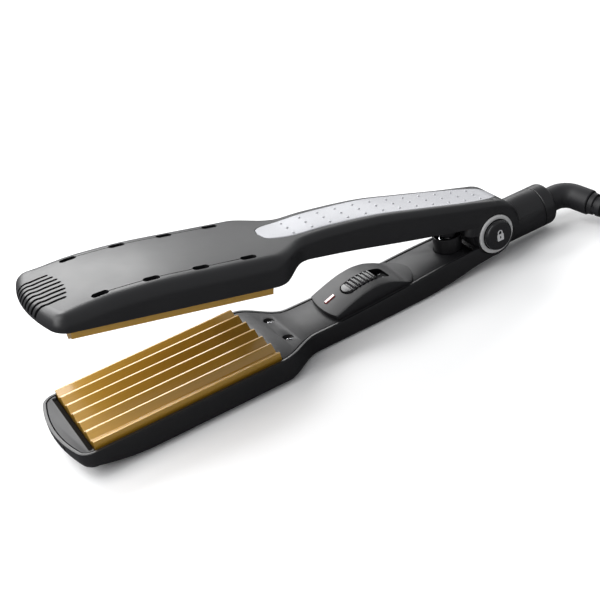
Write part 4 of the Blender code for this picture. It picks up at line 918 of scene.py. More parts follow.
def hinge_cylinder(radius, low_y, high_y):
    """A cylinder round the hinge's axis, for cutting."""
    bpy.ops.mesh.primitive_cylinder_add(vertices=ROUND_STEPS, radius=radius * MM, depth=(high_y - low_y) * MM)
    piece = named("hinge_bore")
    piece.data.transform(placed((HINGE_X, (low_y + high_y) / 2, HINGE_Z), (0, 1, 0)))
    return piece


def open_vents(context, shell, rim, skin, up):
    """Two rows of obround vents joined by a fine groove, and the slits that wrap over the nose."""
    detail = context.scene.crimper_detail
    low, high = up * INSIDE, up * OUTSIDE
    last_x = VENT_FIRST_X + (VENT_COUNT - 1) * VENT_PITCH
    half, depth = detail.groove_width / MM / 2, detail.groove_depth / MM
    grooves, cutters = [], []
    for y in (-VENT_ROW_Y, VENT_ROW_Y):
        run = [(VENT_FIRST_X + (last_x - VENT_FIRST_X) * k / 40, half) for k in range(41)]
        grooves.append(plank("groove", run, lambda x, y: skin_height(skin, x, y) + up,
                             lambda x, y: skin_height(skin, x, y) - up * depth, 2, shift=y))
        for index in range(VENT_COUNT):
            outline = obround(VENT_FIRST_X + index * VENT_PITCH, y, VENT_LENGTH, VENT_WIDTH, low)
            cutters.append(slab("vent", outline, (0, 0, high - low)))
    bottom = smooth_curve(rim, -NOSE_LENGTH) + up * SLIT_RISE
    start_x = -2 * NOSE_LENGTH
    for index in range(SLIT_COUNT):
        y = (index - (SLIT_COUNT - 1) / 2) * SLIT_PITCH
        end_x = SLIT_END_X - SLIT_ARC * y * y
        outline = obround((start_x + end_x) / 2, y, end_x - start_x, SLIT_WIDTH, bottom)
        cutters.append(slab("slit", outline, (0, 0, high - bottom)))
    # the walls of the groove, the vents and the slits take the painted recess shade
    cut_with_painted_shade(shell, joined("grooves", grooves))
    # the upper shell's inner wall crosses itself at the nose, and a plain cut would lose the mesh
    cut_with_painted_shade(shell, joined("vents_and_slits", cutters), use_self=up > 0)
    if not shell.data.polygons:
        raise RuntimeError(f"{shell.name} was lost while its vents were cut")


def inlay_outline(margin=0.0):
    """Stations of the grip inlay, closer together at its two ends, with a margin for its seat."""
    steps = 60
    start, end = INLAY_HALF_WIDTH[0][0], INLAY_HALF_WIDTH[-1][0]
    outline = []
    for k in range(steps + 1):
        share = (1 - math.cos(math.pi * k / steps)) / 2
        x = start + (end - start) * share
        half = smooth_curve(INLAY_HALF_WIDTH, x)
        outline.append((x + margin * (2 * share - 1), half + (margin if 0 < k < steps else 0)))
    return outline


class CRIMPER_OT_lower_housing(bpy.types.Operator):
    """Make the lower arm's housing with its vents, slits and hinge cradle"""

    bl_idname = "crimper.lower_housing"
    bl_label = "Lower housing"

    def execute(self, context):
        shell = housing("lower_housing", LOWER_RIM, LOWER_SKIN, LOWER_ROLL, -1)
        inner, lip = HUB_RADIUS + FIT, 0.2
        start_deg, end_deg, steps = 206, 344, 46
        half = [*rolled_corner(LOWER_END_RADIUS, LOWER_END_RADIUS - inner - lip), (inner, CHEEK_OUTER_Y)]
        cradle = half + [(r, -y) for r, y in reversed(half)]
        combine(shell, spun("cradle", cradle, start_deg, end_deg, steps), "UNION")
        for side in (-1, 1):
            ends = sorted((side * (CHEEK_INNER_Y - FIT), side * OUTSIDE))
            combine(shell, hinge_cylinder(EAR_RADIUS + FIT, *ends))
        open_vents(context, shell, LOWER_RIM, LOWER_SKIN, -1)
        shell.data.transform(LOWER)
        finish_piece(shell, "lower_arm", ("satin_shell", "painted_recess_shade"), "housing", "lower_shell")
        return {"FINISHED"}


class CRIMPER_OT_upper_housing(bpy.types.Operator):
    """Make the upper arm's housing with its vents, slits, inlay seat and hinge cheeks"""

    bl_idname = "crimper.upper_housing"
    bl_label = "Upper housing"

    def execute(self, context):
        shell = housing("upper_housing", UPPER_RIM, UPPER_SKIN, UPPER_ROLL, 1)
        inner, bore = HUB_RADIUS + 2 * FIT, BORE_RADIUS - 0.6
        corner = rolled_corner(UPPER_END_RADIUS, smooth_curve(UPPER_ROLL, HINGE_X))
        half = [*corner, (bore, CHEEK_OUTER_Y), (bore, CHEEK_INNER_Y), (inner, CHEEK_INNER_Y)]
        start_deg = math.degrees(OPENING) - 3
        cap_sweep = (start_deg, 100, 30)  # from and to, in degrees, and steps
        cheek_sweep = (95, 178, 28)
        ear_sweep = (172, 366 + start_deg, 60)
        cap = half + [(r, -y) for r, y in reversed(half)]
        combine(shell, spun("cap", cap, *cap_sweep), "UNION")
        for side in (-1, 1):
            outer_y, inner_y = side * CHEEK_OUTER_Y, side * CHEEK_INNER_Y
            cheek = [(r, side * y) for r, y in corner]
            cheek += [(bore, outer_y), (bore, inner_y), (UPPER_END_RADIUS, inner_y)]
            combine(shell, spun("cheek", cheek, *cheek_sweep), "UNION")
            ear = [(EAR_RADIUS, outer_y), (EAR_RADIUS, inner_y), (bore, inner_y), (bore, outer_y)]
            combine(shell, spun("ear", ear, *ear_sweep), "UNION")
        combine(shell, hinge_cylinder(BORE_RADIUS, -OUTSIDE, OUTSIDE))
        seat_depth = INLAY_THICKNESS - INLAY_PROUD + FIT
        seat = plank("inlay_seat", inlay_outline(margin=0.25), lambda x, y: upper_top(x, y) + 2,
                     lambda x, y: upper_top(x, y) - seat_depth, 12)
        combine(shell, seat)
        open_vents(context, shell, UPPER_RIM, UPPER_SKIN, 1)
        shell.data.transform(UPPER)
        finish_piece(shell, "upper_arm", ("satin_shell", "painted_recess_shade"), "housing", "upper_shell")
        return {"FINISHED"}


class CRIMPER_OT_plates(bpy.types.Operator):
    """Make the two corrugated heating plates"""

    bl_idname = "crimper.plates"
    bl_label = "Heating plates"

    def execute(self, context):
        steps = 48
        half = PLATE_WIDTH / 2
        count = int(half / (RIDGE_PITCH / steps))
        ys = [-half, *[k * RIDGE_PITCH / steps for k in range(-count, count + 1)], half]
        for name, lift, back_z, carry, body in (
            ("lower_plate", 0.0, -RIDGE_DEPTH - PLATE_BODY, LOWER, "lower_arm"),
            ("upper_plate", PLATE_GAP, PLATE_GAP + PLATE_BODY, UPPER, "upper_arm"),
        ):
            def place(i, j, lift=lift):
                return PLATE_LENGTH * j, ys[i], ridge_height(ys[i]) + lift

            piece = grid_piece(f"{name}_fine", len(ys) - 1, 1, place)
            thicken(piece, lambda x, y, back_z=back_z: back_z)
            round_edges(piece, 0.2, angle=50)
            piece.data.transform(carry)
            finish_piece(piece, body, "gold_coat", "gold_plate", name, smooth=30)
        return {"FINISHED"}


class CRIMPER_OT_covers(bpy.types.Operator):
    """Make the inner covers and their screws, and give the hidden pieces their finish"""

    bl_idname = "crimper.covers"
    bl_label = "Covers and inner pieces"

    def execute(self, context):
        half, rounding = PLATE_WIDTH / 2 - 1.2, 0.22
        for arm, (carry, rim, up) in ARMS.items():
            node = f"{arm}_nose_cover"
            nose = softened(node, rounding)
            corners = rectangle(-2.7, -0.2, -half, half, smooth_curve(rim, -1.5) + up * 1.1)
            trench = slab("trench", corners, (0, 0, -up * 6))
            trench.data.transform(carry)
            # the trench's walls take the painted recess shade
            cut_with_painted_shade(nose, trench)
            finish_piece(nose, f"{arm}_arm", ("grained_cover", "painted_recess_shade"), "cover", node)
            node = f"{arm}_handle_cover"
            finish_piece(softened(node, rounding), f"{arm}_arm", "grained_cover", "cover", node)
        for arm, (carry, rim, up) in ARMS.items():
            self.screws(arm, carry, rim, up)
        self.inner_pieces()
        return {"FINISHED"}

    def screws(self, arm, carry, rim, up):
        """Small cross-head screws, sunk in their dark seats."""
        cover_drop, head_drop, cross_depth = 0.25, 0.75, 0.5
        head_z = smooth_curve(rim, SCREW_X) + up * cover_drop + up * head_drop
        for index, y in enumerate((-SCREW_Y, SCREW_Y), start=1):
            node = f"{arm}_screw_{index}"
            screw = turned(f"{node}_fine", SCREW_PROFILE, 40, placed((SCREW_X, y, head_z), (0, 0, -up)))
            for reach_x, reach_y in ((1.1, 0.22), (0.22, 1.1)):
                cross = rectangle(SCREW_X - reach_x, SCREW_X + reach_x, y - reach_y, y + reach_y,
                                  head_z + up * cross_depth)
                # the walls of the cross take the painted recess shade
                cut_with_painted_shade(screw, slab("cross", cross, (0, 0, -up * 2)))
            screw.data.transform(carry)
            finish_piece(screw, f"{arm}_arm", ("bright_steel", "painted_recess_shade"), "steel", node)

    def inner_pieces(self):
        """Finishes of the pieces inside the housings, which keep their CAD form."""
        # the plate trays take the same near-black paint that stands for shade in the cuts
        for paint, nodes in {
            "heater_block": ("lower_heater", "upper_heater", "switch_body"),
            "painted_recess_shade": ("lower_plate_tray", "upper_plate_tray"),
            "bright_steel": ("lower_thermostat", "upper_thermostat"),
            "board_green": ("control_board",),
        }.items():
            for node in nodes:
                dressed = frame["nodes"][node].data.materials
                dressed.clear()
                dressed.append(bpy.data.materials[paint])


class CRIMPER_OT_grip(bpy.types.Operator):
    """Make the silver grip inlay with its raised dots"""

    bl_idname = "crimper.grip"
    bl_label = "Grip inlay"

    def execute(self, context):
        detail = context.scene.crimper_detail
        sunk = INLAY_THICKNESS - INLAY_PROUD
        inlay = plank("grip_inlay_fine", inlay_outline(), lambda x, y: upper_top(x, y) + INLAY_PROUD,
                      lambda x, y: upper_top(x, y) - sunk, 14)
        round_edges(inlay, 0.3, angle=50, segments=3)
        dots = []
        for y in DOT_ROWS_Y:
            for column in range(detail.dot_columns):
                x = DOT_FIRST_X + DOT_PITCH * column
                bpy.ops.mesh.primitive_uv_sphere_add(segments=16, ring_count=8, radius=detail.dot_radius)
                dot = named("grip_dot")
                dot.data.transform(Matrix.Diagonal((1, 1, DOT_FLATNESS, 1)))
                centre = Vector((x, y, upper_top(x, y) + INLAY_PROUD)) * MM
                dot.data.transform(Matrix.Translation(centre))
                dots.append(dot)
        inlay = joined("grip_inlay_fine", [*dots, inlay])
        inlay.data.transform(UPPER)
        finish_piece(inlay, "upper_arm", "silver_lacquer", "inlay", "grip_inlay")
        return {"FINISHED"}


class CRIMPER_OT_power_switch(bpy.types.Operator):
    """Make the switch pod, its ribbed slider, the marks in its pocket and the indicator lens"""

    bl_idname = "crimper.power_switch"
    bl_label = "Power switch"

    def execute(self, context):
        self.pod()
        self.lens()
        self.slider(context.scene.crimper_detail.slider_ribs)
        self.marks()
        return {"FINISHED"}

    def pod(self):
        """A low arched housing with bowed ends, a pocket for the slider and a slot for the lens."""
        half, front_bow, rear_bow = POD_HALF_WIDTH, 1.9, 5.6
        front = [(POD_START_X + front_bow * (k / 6) ** 2, half * k / 6) for k in range(7)]
        rear = [(POD_END_X - rear_bow * (k / 8) ** 2, half * k / 8) for k in range(8, -1, -1)]
        straight = rear[0][0] - front[-1][0]
        sides = [(front[-1][0] + straight * k / 36, half) for k in range(1, 36)]
        pod = plank("switch_pod_fine", front + sides + rear, pod_top,
                    lambda x, y: smooth_curve(LOWER_RIM, x) - 0.9, 16)
        modify(pod, "BEVEL", width=0.35 * MM, segments=3, limit_method="ANGLE", angle_limit=math.radians(40))
        through_roof = (0, 0, 20)
        # the walls of the pocket and the lens slot take the painted recess shade
        cut_with_painted_shade(pod, slab("pocket", self.pocket(), through_roof))
        x, y, length, width = LENS_PLACE
        outline = obround(x, y, length + 2 * FIT, width + 2 * FIT, -5.5)
        cut_with_painted_shade(pod, slab("lens_slot", outline, through_roof))
        pod.data.transform(LOWER)
        finish_piece(pod, "lower_arm", ("grained_cover", "painted_recess_shade"), "cover", "switch_pod")

    def pocket(self):
        """Outline of the slider's pocket: a half oval at the nose end, small corners at the other."""
        low_x, high_x, half, oval, corner = 136.2, 160.6, 4.9, 3.6, 1.6
        points = []
        for k in range(15):
            angle = math.pi / 2 + math.pi * k / 14
            points.append((low_x + oval + oval * math.cos(angle), SLIDER_Y + half * math.sin(angle),
                           POCKET_FLOOR))
        for side in (-1, 1):
            for k in range(5):
                angle = side * math.pi / 2 * (1 - k / 4) if side < 0 else math.pi / 2 * k / 4
                points.append((high_x - corner + corner * math.cos(angle),
                               SLIDER_Y + side * (half - corner) + corner * math.sin(angle), POCKET_FLOOR))
        return points

    def lens(self):
        """The indicator: a small glossy red window that stands a little proud."""
        x, y, length, width = LENS_PLACE
        outline = [(x + length * (k / 12 - 0.5), width / 2) for k in range(13)]
        lens = plank("indicator_lens_fine", outline, lambda a, b: pod_top(a, b) + 0.45,
                     lambda a, b: pod_top(a, b) - 0.9, 4, shift=y)
        round_edges(lens, 0.28, angle=50, segments=3)
        lens.data.transform(LOWER)
        finish_piece(lens, "lower_arm", "lens_red", "lens", "indicator_lens")

    def slider(self, ribs):
        """A smooth pad towards the nose, and behind it round ribs that follow the pod's arch."""
        low_x, high_x, half, pad, nose_length = 136.8, 154.2, 4.4, 4.0, 3.4
        rise, bow, pad_drop, pad_fall, rib_depth = 0.9, 0.012, 0.25, 0.9, 1.0
        ribbed = high_x - low_x - pad
        steps = ribs * 12
        quarter = [math.pi / 2 * k / 8 for k in range(9)]
        nose = [(low_x + nose_length * (1 - math.cos(angle)), half * math.sin(angle)) for angle in quarter]
        stations = nose + [(low_x + pad + ribbed * k / steps, half) for k in range(steps + 1)]

        def top(x, y):
            along = (x - low_x - pad) / ribbed
            proud = pod_top(x, 0) + rise - bow * (y - SLIDER_Y) ** 2
            if along < 0:
                return proud - pad_fall * ((x - low_x - pad * 0.35) / pad) ** 2 - pad_drop
            wave = abs(math.cos(math.pi * ribs * along))
            return proud - rib_depth * wave**2.4

        piece = plank("slide_switch_fine", stations, top, lambda x, y: POCKET_FLOOR + 0.15, 10,
                      shift=SLIDER_Y)
        round_edges(piece, 0.3, angle=60)
        piece.data.transform(LOWER)
        finish_piece(piece, "power_slider", "gloss_button", "button", "slide_switch", smooth=55)

    def marks(self):
        """Two tiny painted position marks on the floor of the slider's pocket, a line and a ring."""
        thick = 0.1
        line = slab("position_line", obround(MARKS_X, SLIDER_Y + 2.2, 1.6, 0.5, POCKET_FLOOR), (0, 0, thick))
        profile = [(0.5, 0), (0.9, 0), (0.9, thick), (0.5, thick)]
        place = placed((MARKS_X, SLIDER_Y - 1.8, POCKET_FLOOR), (0, 0, 1))
        ring = turned("position_ring", profile, 32, place)
        marks = joined("position_marks", [line, ring])
        marks.data.transform(LOWER)
        finish_piece(marks, "lower_arm", "mark_paint", "ring")


class CRIMPER_OT_hinge(bpy.types.Operator):
    """Make the rings, the lock buttons with their padlock mark, the hub, the tube and the shaft"""

    bl_idname = "crimper.hinge"
    bl_label = "Hinge and lock"

    def execute(self, context):
        face_y = CHEEK_OUTER_Y + FIT + RING_THICKNESS
        inner, outer, edge = 7.8, RING_RADIUS, 0.35
        profile = [(inner, -RING_THICKNESS), (outer, -RING_THICKNESS), (outer, -edge), (outer - edge, 0),
                   (inner + edge * 0.6, 0), (inner, -edge * 0.6)]
        for name, side in (("near_ring", -1), ("far_ring", 1)):
            place = UPPER @ placed((HINGE_X, side * face_y, HINGE_Z), (0, side, 0))
            ring = round_edges(turned(f"{name}_fine", profile, ROUND_STEPS, place), 0.12, angle=30)
            finish_piece(ring, "upper_arm", "matt_silver", "ring", name)
        self.button("lock_button", -1, face_y + BUTTON_PROUD)
        self.button("unlock_button", 1, face_y + 0.2)
        self.padlock(-face_y - BUTTON_PROUD)
        for node, paint, slot, body in (
            ("lock_shaft", "bright_steel", "steel", "hinge_lock"),
            ("pivot_tube", "bright_steel", "steel", "lower_arm"),
            ("hinge_hub", "grained_cover", "cover", "lower_arm"),
        ):
            finish_piece(softened(node, 0.15), body, paint, slot, node)
        return {"FINISHED"}

    def button(self, node, side, face_y):
        """A disc with a rounded edge and a slightly dished face."""
        depth, edge, dish = 6.0, 1.1, 0.12
        profile = [(0, -depth), (BUTTON_RADIUS, -depth)]
        profile += quarter_round(BUTTON_RADIUS - edge, -edge, edge, 6)
        for k in range(1, 9):
            radius = (BUTTON_RADIUS - edge) * (1 - k / 8)
            profile.append((radius, -dish * math.cos(math.pi / 2 * radius / (BUTTON_RADIUS - edge)) ** 2))
        place = LOWER @ placed((HINGE_X, side * face_y, HINGE_Z), (0, side, 0))
        piece = turned(f"{node}_fine", profile, ROUND_STEPS, place)
        finish_piece(piece, "hinge_lock", "gloss_button", "button", node)

    def padlock(self, face_y):
        """A small padlock painted on the near button: a body with a keyhole, and a shackle."""
        half, top_z, low_z, cut, thick = 1.85, 0.9, -2.6, 0.3, 0.2
        body = [(-half + cut, low_z), (half - cut, low_z), (half, low_z + cut), (half, top_z - cut),
                (half - cut, top_z), (-half + cut, top_z), (-half, top_z - cut), (-half, low_z + cut)]
        plate = slab("padlock_body", [(x, 0, z) for x, z in body], (0, thick, 0))
        hole = slab("keyhole", obround_upright(0, (top_z + low_z) / 2, 0.75, 1.5, -1), (0, 2, 0))
        combine(plate, hole)
        radius, width, foot_z, lift = 1.1, 0.5, -0.9, 1.75
        arc = [math.pi * k / 12 for k in range(13)]
        outer = [(radius + width / 2) * Vector((math.cos(a), math.sin(a))) for a in arc]
        inner = [(radius - width / 2) * Vector((math.cos(a), math.sin(a))) for a in reversed(arc)]
        outer = [(outer[0].x, foot_z), *outer, (outer[-1].x, foot_z)]
        inner = [(inner[0].x, foot_z), *inner, (inner[-1].x, foot_z)]
        shackle = slab("padlock_shackle", [(x, 0, z + lift) for x, z in outer + inner], (0, thick, 0))
        combine(plate, shackle, "UNION")
        plate.name = "padlock_mark"
        middle = Vector((HINGE_X + 0.3, face_y - 0.04, HINGE_Z))
        plate.data.transform(LOWER @ Matrix.Translation(middle * MM))
        finish_piece(plate, "hinge_lock", "mark_paint", "ring")


class CRIMPER_OT_spring(bpy.types.Operator):
    """Make the spring cup and the wire spring in it"""

    bl_idname = "crimper.spring"
    bl_label = "Return spring"

    def execute(self, context):
        cup = softened("spring_cup", 0.3, segments=3)
        finish_piece(cup, "lower_arm", "satin_shell", "cover", "spring_cup")
        low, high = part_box("return_spring")
        centre, radius = (low + high) / 2, (high.x - low.x) / 2
        wire, turns, per_turn = 0.55, 5.0, 20
        height = high.z - low.z - 2 * wire * MM
        reach, flat_turns = radius - wire * MM, 0.7
        points = []
        for k in range(int(turns * per_turn) + 1):
            angle = 2 * math.pi * k / per_turn
            share = min(1.0, max(0.0, (k / per_turn - flat_turns) / (turns - 2 * flat_turns)))
            points.append((centre.x + reach * math.cos(angle), centre.y + reach * math.sin(angle),
                           low.z + wire * MM + height * share))
        coil = pipe_mesh("return_spring_fine", points, wire, 3)
        finish_piece(coil, "lower_arm", "bright_steel", "steel", "return_spring", smooth=60)
        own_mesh(coil)
        return {"FINISHED"}


class CRIMPER_OT_swivel(bpy.types.Operator):
    """Make the barrel, the collar, the elbow and the ribbed strain relief"""

    bl_idname = "crimper.swivel"
    bl_label = "Cord swivel"

    def execute(self, context):
        self.barrel()
        seat = LOWER @ placed((BARREL_END_X, 0, BARREL_Z), (1, 0, 0))
        gap, edge, rounding = 0.25, 0.3, 2.4
        profile = [(0, gap), (BARREL_RADIUS - edge, gap), (BARREL_RADIUS, gap + edge)]
        profile += quarter_round(BARREL_RADIUS - rounding, COLLAR_LENGTH - rounding, rounding, 6)
        profile.append((0, COLLAR_LENGTH))
        collar = turned("swivel_collar_fine", profile, ROUND_STEPS, seat)
        finish_piece(collar, "cord_outlet", "satin_shell", "housing", "swivel_collar")
        line = [LOWER @ (point * MM) for point in elbow_line()]
        elbow = round_edges(pipe_mesh("swivel_elbow_fine", line, ELBOW_RADIUS, 9), 0.7, segments=4)
        finish_piece(elbow, "cord_outlet", "soft_rubber", "rubber", "swivel_elbow", smooth=50)
        self.strain_relief()
        return {"FINISHED"}

    def barrel(self):
        """A round barrel on the lower arm, hollowed where the upper arm's end turns."""
        length, edge = BARREL_END_X - BARREL_START_X, 0.3
        profile = [(0, 0), (BARREL_RADIUS, 0), (BARREL_RADIUS, length - edge), (BARREL_RADIUS - edge, length),
                   (0, length)]
        place = placed((BARREL_START_X, 0, BARREL_Z), (1, 0, 0))
        barrel = turned("swivel_barrel_fine", profile, ROUND_STEPS, place)
        combine(barrel, hinge_cylinder(LOWER_END_RADIUS + FIT, -OUTSIDE, OUTSIDE))
        inner, outer = 0.8, UPPER_END_RADIUS + 0.5
        start_deg, end_deg, steps = -4.5, 62, 48
        room = [(inner, -OUTSIDE), (outer, -OUTSIDE), (outer, OUTSIDE), (inner, OUTSIDE)]
        combine(barrel, spun("cap_room", room, start_deg, end_deg, steps))
        round_edges(barrel, 0.25, angle=35)
        barrel.data.transform(LOWER)
        finish_piece(barrel, "lower_arm", "satin_shell", "housing", "swivel_barrel")

    def strain_relief(self):
        """A tapered core with ribs, and between them pairs of spines that turn by a quarter at each rib."""
        ribs, groove, spine_half = 7, 1.1, 1.1
        pitch = RELIEF_LENGTH / ribs

        def radius_at(reach):
            return RELIEF_START_RADIUS + (RELIEF_END_RADIUS - RELIEF_START_RADIUS) * reach / RELIEF_LENGTH

        profile = [(0, 0)]
        for k in range(ribs):
            for share, sunk in ((0.0, 0.25), (0.05, 0), (0.55, 0), (0.6, 0.25), (0.64, 1), (0.96, 1)):
                reach = pitch * (k + share)
                profile.append((radius_at(reach) - sunk * groove, reach))
        profile += [(radius_at(RELIEF_LENGTH) - 0.3, RELIEF_LENGTH), (0, RELIEF_LENGTH)]
        leg = leg_direction()
        place = LOWER @ placed(elbow_corner() + leg * (ELBOW_LEG + FIT), leg)
        relief = turned("strain_relief_fine", profile, 48)
        for k in range(ribs - 1):
            start = pitch * (k + 0.5)
            end = start + pitch * 0.6
            reach = radius_at(start + pitch * 0.5) - 0.12
            outline = [(0, y, z) for y, z in (
                (-spine_half, start), (spine_half, start), (spine_half, end), (-spine_half, end))]
            for quarter in (0, 2):
                spine = slab("relief_spine", outline, (reach, 0, 0))
                spine.data.transform(Matrix.Rotation(math.pi / 2 * (quarter + k % 2), 4, "Z"))
                combine(relief, spine, "UNION")
        relief.data.transform(place)
        finish_piece(relief, "cord_outlet", "soft_rubber", "rubber", "strain_relief", smooth=40)


def leg_direction():
    """The way the elbow sends the cord: out to the side and a little down."""
    side = math.sin(ELBOW_BEND)
    return Vector((math.cos(ELBOW_BEND), -side * math.cos(ELBOW_DROOP), -side * math.sin(ELBOW_DROOP)))


def elbow_corner():
    """Where the elbow's two straight runs would meet."""
    return Vector((ELBOW_CORNER_X, 0, BARREL_Z))


def elbow_line():
    """The elbow's centre line: straight out of the collar, round the bend and down the leg."""
    along, leg = Vector((1, 0, 0)), leg_direction()
    inward = (leg - along * math.cos(ELBOW_BEND)).normalized()
    tangent = ELBOW_BEND_RADIUS * math.tan(ELBOW_BEND / 2)
    centre = elbow_corner() - along * tangent + inward * ELBOW_BEND_RADIUS
    points = [Vector((BARREL_END_X + COLLAR_LENGTH + FIT, 0, BARREL_Z))]
    for k in range(25):
        turn = ELBOW_BEND * k / 24
        points.append(centre + ELBOW_BEND_RADIUS * (along * math.sin(turn) - inward * math.cos(turn)))
    points.append(elbow_corner() + leg * ELBOW_LEG)
    return points


def on_coil(angle_deg, radius, z):
    """A place round the coil's centre."""
    angle = math.radians(angle_deg)
    return Vector((COIL_CENTRE[0] + radius * math.cos(angle), COIL_CENTRE[1] + radius * math.sin(angle), z))


def eased(share):
    """A share from 0 to 1 with a gentle start and end."""
    return share * share * (3 - 2 * share)


def coil_line(per_turn):
    """The wound lead: three turns inwards, two outwards in their hollows, and three outwards on top."""
    entry_deg, entry_radius = COIL_ENTRY
    cross_deg = 55.0  # the last part of a turn, in which the lead climbs and then moves over to the next
    last_deg = COIL_LEAVE_DEG + 360 * len(COIL_TURNS)
    points = []
    steps = round((last_deg - entry_deg) / 360 * per_turn)
    for k in range(steps + 1):
        angle = entry_deg + (last_deg - entry_deg) * k / steps
        if angle < COIL_FIRST_DEG:
            share = (angle - entry_deg) / (COIL_FIRST_DEG - entry_deg)
            start, end = (entry_radius, LYING_Z), COIL_TURNS[0]
        else:
            turn = int((angle - COIL_FIRST_DEG) // 360)
            start, end = COIL_TURNS[turn], COIL_TURNS[min(turn + 1, len(COIL_TURNS) - 1)]
            share = max(0.0, (angle - COIL_FIRST_DEG - 360 * turn - 360 + cross_deg) / cross_deg)
        climb, drift = eased(min(1.0, share * 1.6)), eased(max(0.0, share * 1.6 - 0.6))
        radius = start[0] + (end[0] - start[0]) * drift
        points.append(on_coil(angle, radius, start[1] + (end[1] - start[1]) * climb))
    return points


def run_to_plug(rear):
    """Off the last turn, up onto the coil and round a tight bend into the plug."""
    bend, radius, meet_deg, end_deg = 16.98, 40.0, 169.8, 270
    start_z, top_z = COIL_TURNS[-1][1], COIL_TOP_Z + FIT + CORD_RADIUS
    points = []
    for k in range(1, 9):
        angle = COIL_LEAVE_DEG + (meet_deg - COIL_LEAVE_DEG) * (k / 9)
        points.append(on_coil(angle, radius, start_z + (top_z - start_z) * eased(k / 9)))
    for k in range(9):
        angle = math.radians(meet_deg + (end_deg - meet_deg) * k / 8)
        points.append(Vector((rear.x - 3 + bend * math.cos(angle), rear.y + bend * (1 + math.sin(angle)),
                              top_z + (rear.z - top_z) * eased(k / 8))))
    return [*points, rear]


class CRIMPER_OT_cord(bpy.types.Operator):
    """Lay the mains lead with its coil, its tie and its plug"""

    bl_idname = "crimper.cord"
    bl_label = "Mains lead"

    def execute(self, context):
        wanted = context.scene.crimper_cord
        leg = leg_direction()
        start = elbow_corner() + leg * (ELBOW_LEG + 2 * FIT + RELIEF_LENGTH + 0.1)
        route = [start, start + leg * 9 + Vector((0, 0, 0.6)), *((x, y, LYING_Z) for x, y in LEAD_KNOTS),
                 on_coil(*COIL_ENTRY, LYING_Z)]
        free = [Vector((x, y, max(z, LYING_Z))) for x, y, z in smooth_route(route, 4)]
        rear = Vector((COIL_CENTRE[0] - 20, COIL_CENTRE[1] - 16, COIL_TOP_Z + FIT + 6.8))
        line = free[:-1] + coil_line(wanted.points_per_turn) + run_to_plug(rear)
        lead = pipe("mains_lead", [LOWER @ (point * MM) for point in line], wanted.diameter / MM / 2, 5)
        finish_piece(lead, "lower_arm", "cord_rubber", "rubber", "power_cord", "cord_coil", "cord_end")
        tie = finish_piece(softened("cord_tie", 0.15), "lower_arm", "soft_rubber", "rubber", "cord_tie")
        plug = finish_piece(softened("plug_body", 0.0), "lower_arm", "soft_rubber", "rubber", "plug_body")
        pins = [
            finish_piece(softened(node, 0.1), "lower_arm", "brass_pin", "pin_metal", node)
            for node in ("plug_pin_1", "plug_pin_2")
        ]
        return {"FINISHED"}


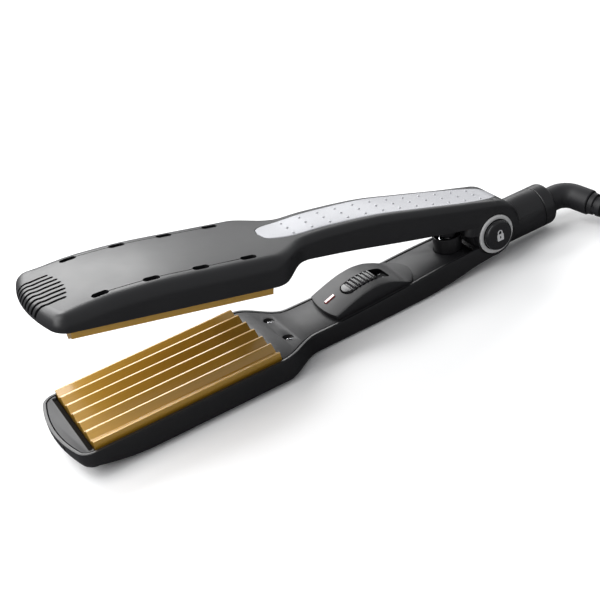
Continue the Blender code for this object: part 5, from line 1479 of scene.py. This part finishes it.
class CRIMPER_OT_stage(bpy.types.Operator):
    """Set the camera, the pale floor and the soft lights"""

    bl_idname = "crimper.stage"
    bl_label = "Stage"

    def execute(self, context):
        studio = context.scene.crimper_studio
        self.camera(context, studio)
        self.floor()
        self.room(context, studio.ambient)
        self.softbox("back_softbox", (-0.02, 1.20, 0.78), (1.25, 0.6), studio.back_light)
        self.softbox("fill_softbox", (0.95, 1.00, 0.45), (0.7, 0.4), studio.fill_light)
        self.softbox("top_softbox", (-0.62, 0.25, 1.15), (0.9, 0.9), studio.top_light)
        self.softbox("side_softbox", (-1.00, -0.30, 0.75), (0.7, 0.7), studio.side_light)
        return {"FINISHED"}

    def camera(self, context, studio):
        """The camera, and colours shown as they are."""
        bpy.ops.object.camera_add()
        camera = context.object
        camera.data.lens = studio.focal_length
        camera.data.clip_start = 0.01
        turn = (Matrix.Rotation(-studio.heading, 4, "Z") @ Matrix.Rotation(math.pi / 2 - studio.drop, 4, "X")
                @ Matrix.Rotation(studio.roll, 4, "Z"))
        camera.matrix_world = LOWER @ Matrix.Translation(studio.camera_place) @ turn
        context.scene.camera = camera
        context.scene.view_settings.view_transform = "Standard"

    def floor(self):
        """A white sweep that glossy surfaces see dark: a painted reflection, which paints shade on the
        crimper's sides.
        """
        bpy.ops.mesh.primitive_plane_add(size=12, location=(0, 0, 0))
        floor = named("floor")
        paint = bpy.data.materials.new("white_sweep")
        paint.use_nodes = True
        tree = paint.node_tree
        white = tree.nodes["Principled BSDF"]
        white.inputs["Base Color"].default_value = (0.97, 0.97, 0.97, 1)
        white.inputs["Roughness"].default_value = 0.9
        white.inputs["Specular IOR Level"].default_value = 0.0
        # painted reflection: glossy rays see the floor dark, which paints shade on the crimper's glossy sides
        painted_reflection = tree.nodes.new("ShaderNodeBsdfDiffuse")
        painted_reflection.inputs["Color"].default_value = (0.13, 0.13, 0.135, 1)
        seen_by = tree.nodes.new("ShaderNodeLightPath")
        mix = tree.nodes.new("ShaderNodeMixShader")
        tree.links.new(seen_by.outputs["Is Glossy Ray"], mix.inputs[0])
        tree.links.new(white.outputs[0], mix.inputs[1])
        tree.links.new(painted_reflection.outputs[0], mix.inputs[2])
        tree.links.new(mix.outputs[0], tree.nodes["Material Output"].inputs["Surface"])
        floor.data.materials.append(paint)

    def room(self, context, strength):
        """Even light from all round."""
        world = bpy.data.worlds.new("studio_room")
        world.use_nodes = True
        world.node_tree.nodes["Background"].inputs["Color"].default_value = (0.97, 0.98, 1.0, 1)
        world.node_tree.nodes["Background"].inputs["Strength"].default_value = strength
        context.scene.world = world

    def softbox(self, name, place, size, power):
        """A rectangular area light that faces the crimper."""
        bpy.ops.object.light_add(type="AREA", location=place)
        light = bpy.context.object
        light.name = name
        light.data.shape = "RECTANGLE"
        light.data.size, light.data.size_y = size
        light.data.energy = power
        light.rotation_euler = (-Vector(place)).to_track_quat("-Z", "Y").to_euler()


class CRIMPER_PT_panel(bpy.types.Panel):
    """Buttons and sizes of the crimper"""

    bl_idname = "CRIMPER_PT_panel"
    bl_label = "Hair Crimper"
    bl_space_type = "VIEW_3D"
    bl_region_type = "UI"
    bl_category = "Crimper"

    def draw(self, context):
        for group in ("crimper_finish", "crimper_detail", "crimper_cord", "crimper_studio"):
            settings = getattr(context.scene, group)
            box = self.layout.box()
            for label in settings.bl_rna.properties.keys():
                if label not in ("rna_type", "name"):
                    box.prop(settings, label)
        for operator in OPERATORS:
            self.layout.operator(operator.bl_idname)


SETTINGS = {
    "crimper_finish": CrimperFinish,
    "crimper_detail": CrimperDetail,
    "crimper_cord": CrimperCord,
    "crimper_studio": CrimperStudio,
}
OPERATORS = (
    CRIMPER_OT_stage, CRIMPER_OT_finishes, CRIMPER_OT_cord, CRIMPER_OT_lower_housing,
    CRIMPER_OT_upper_housing, CRIMPER_OT_plates, CRIMPER_OT_covers, CRIMPER_OT_grip,
    CRIMPER_OT_power_switch, CRIMPER_OT_hinge, CRIMPER_OT_spring, CRIMPER_OT_swivel,
)


def register():
    for name, group in SETTINGS.items():
        bpy.utils.register_class(group)
        setattr(bpy.types.Scene, name, bpy.props.PointerProperty(type=group))
    for item in (*OPERATORS, CRIMPER_PT_panel):
        bpy.utils.register_class(item)


def unregister():
    for item in (CRIMPER_PT_panel, *reversed(OPERATORS)):
        bpy.utils.unregister_class(item)
    for name, group in SETTINGS.items():
        delattr(bpy.types.Scene, name)
        bpy.utils.unregister_class(group)


def main():
    register()
    for operator in OPERATORS:
        group, action = operator.bl_idname.split(".")
        getattr(getattr(bpy.ops, group), action)()


if __name__ == "__main__":
    main()
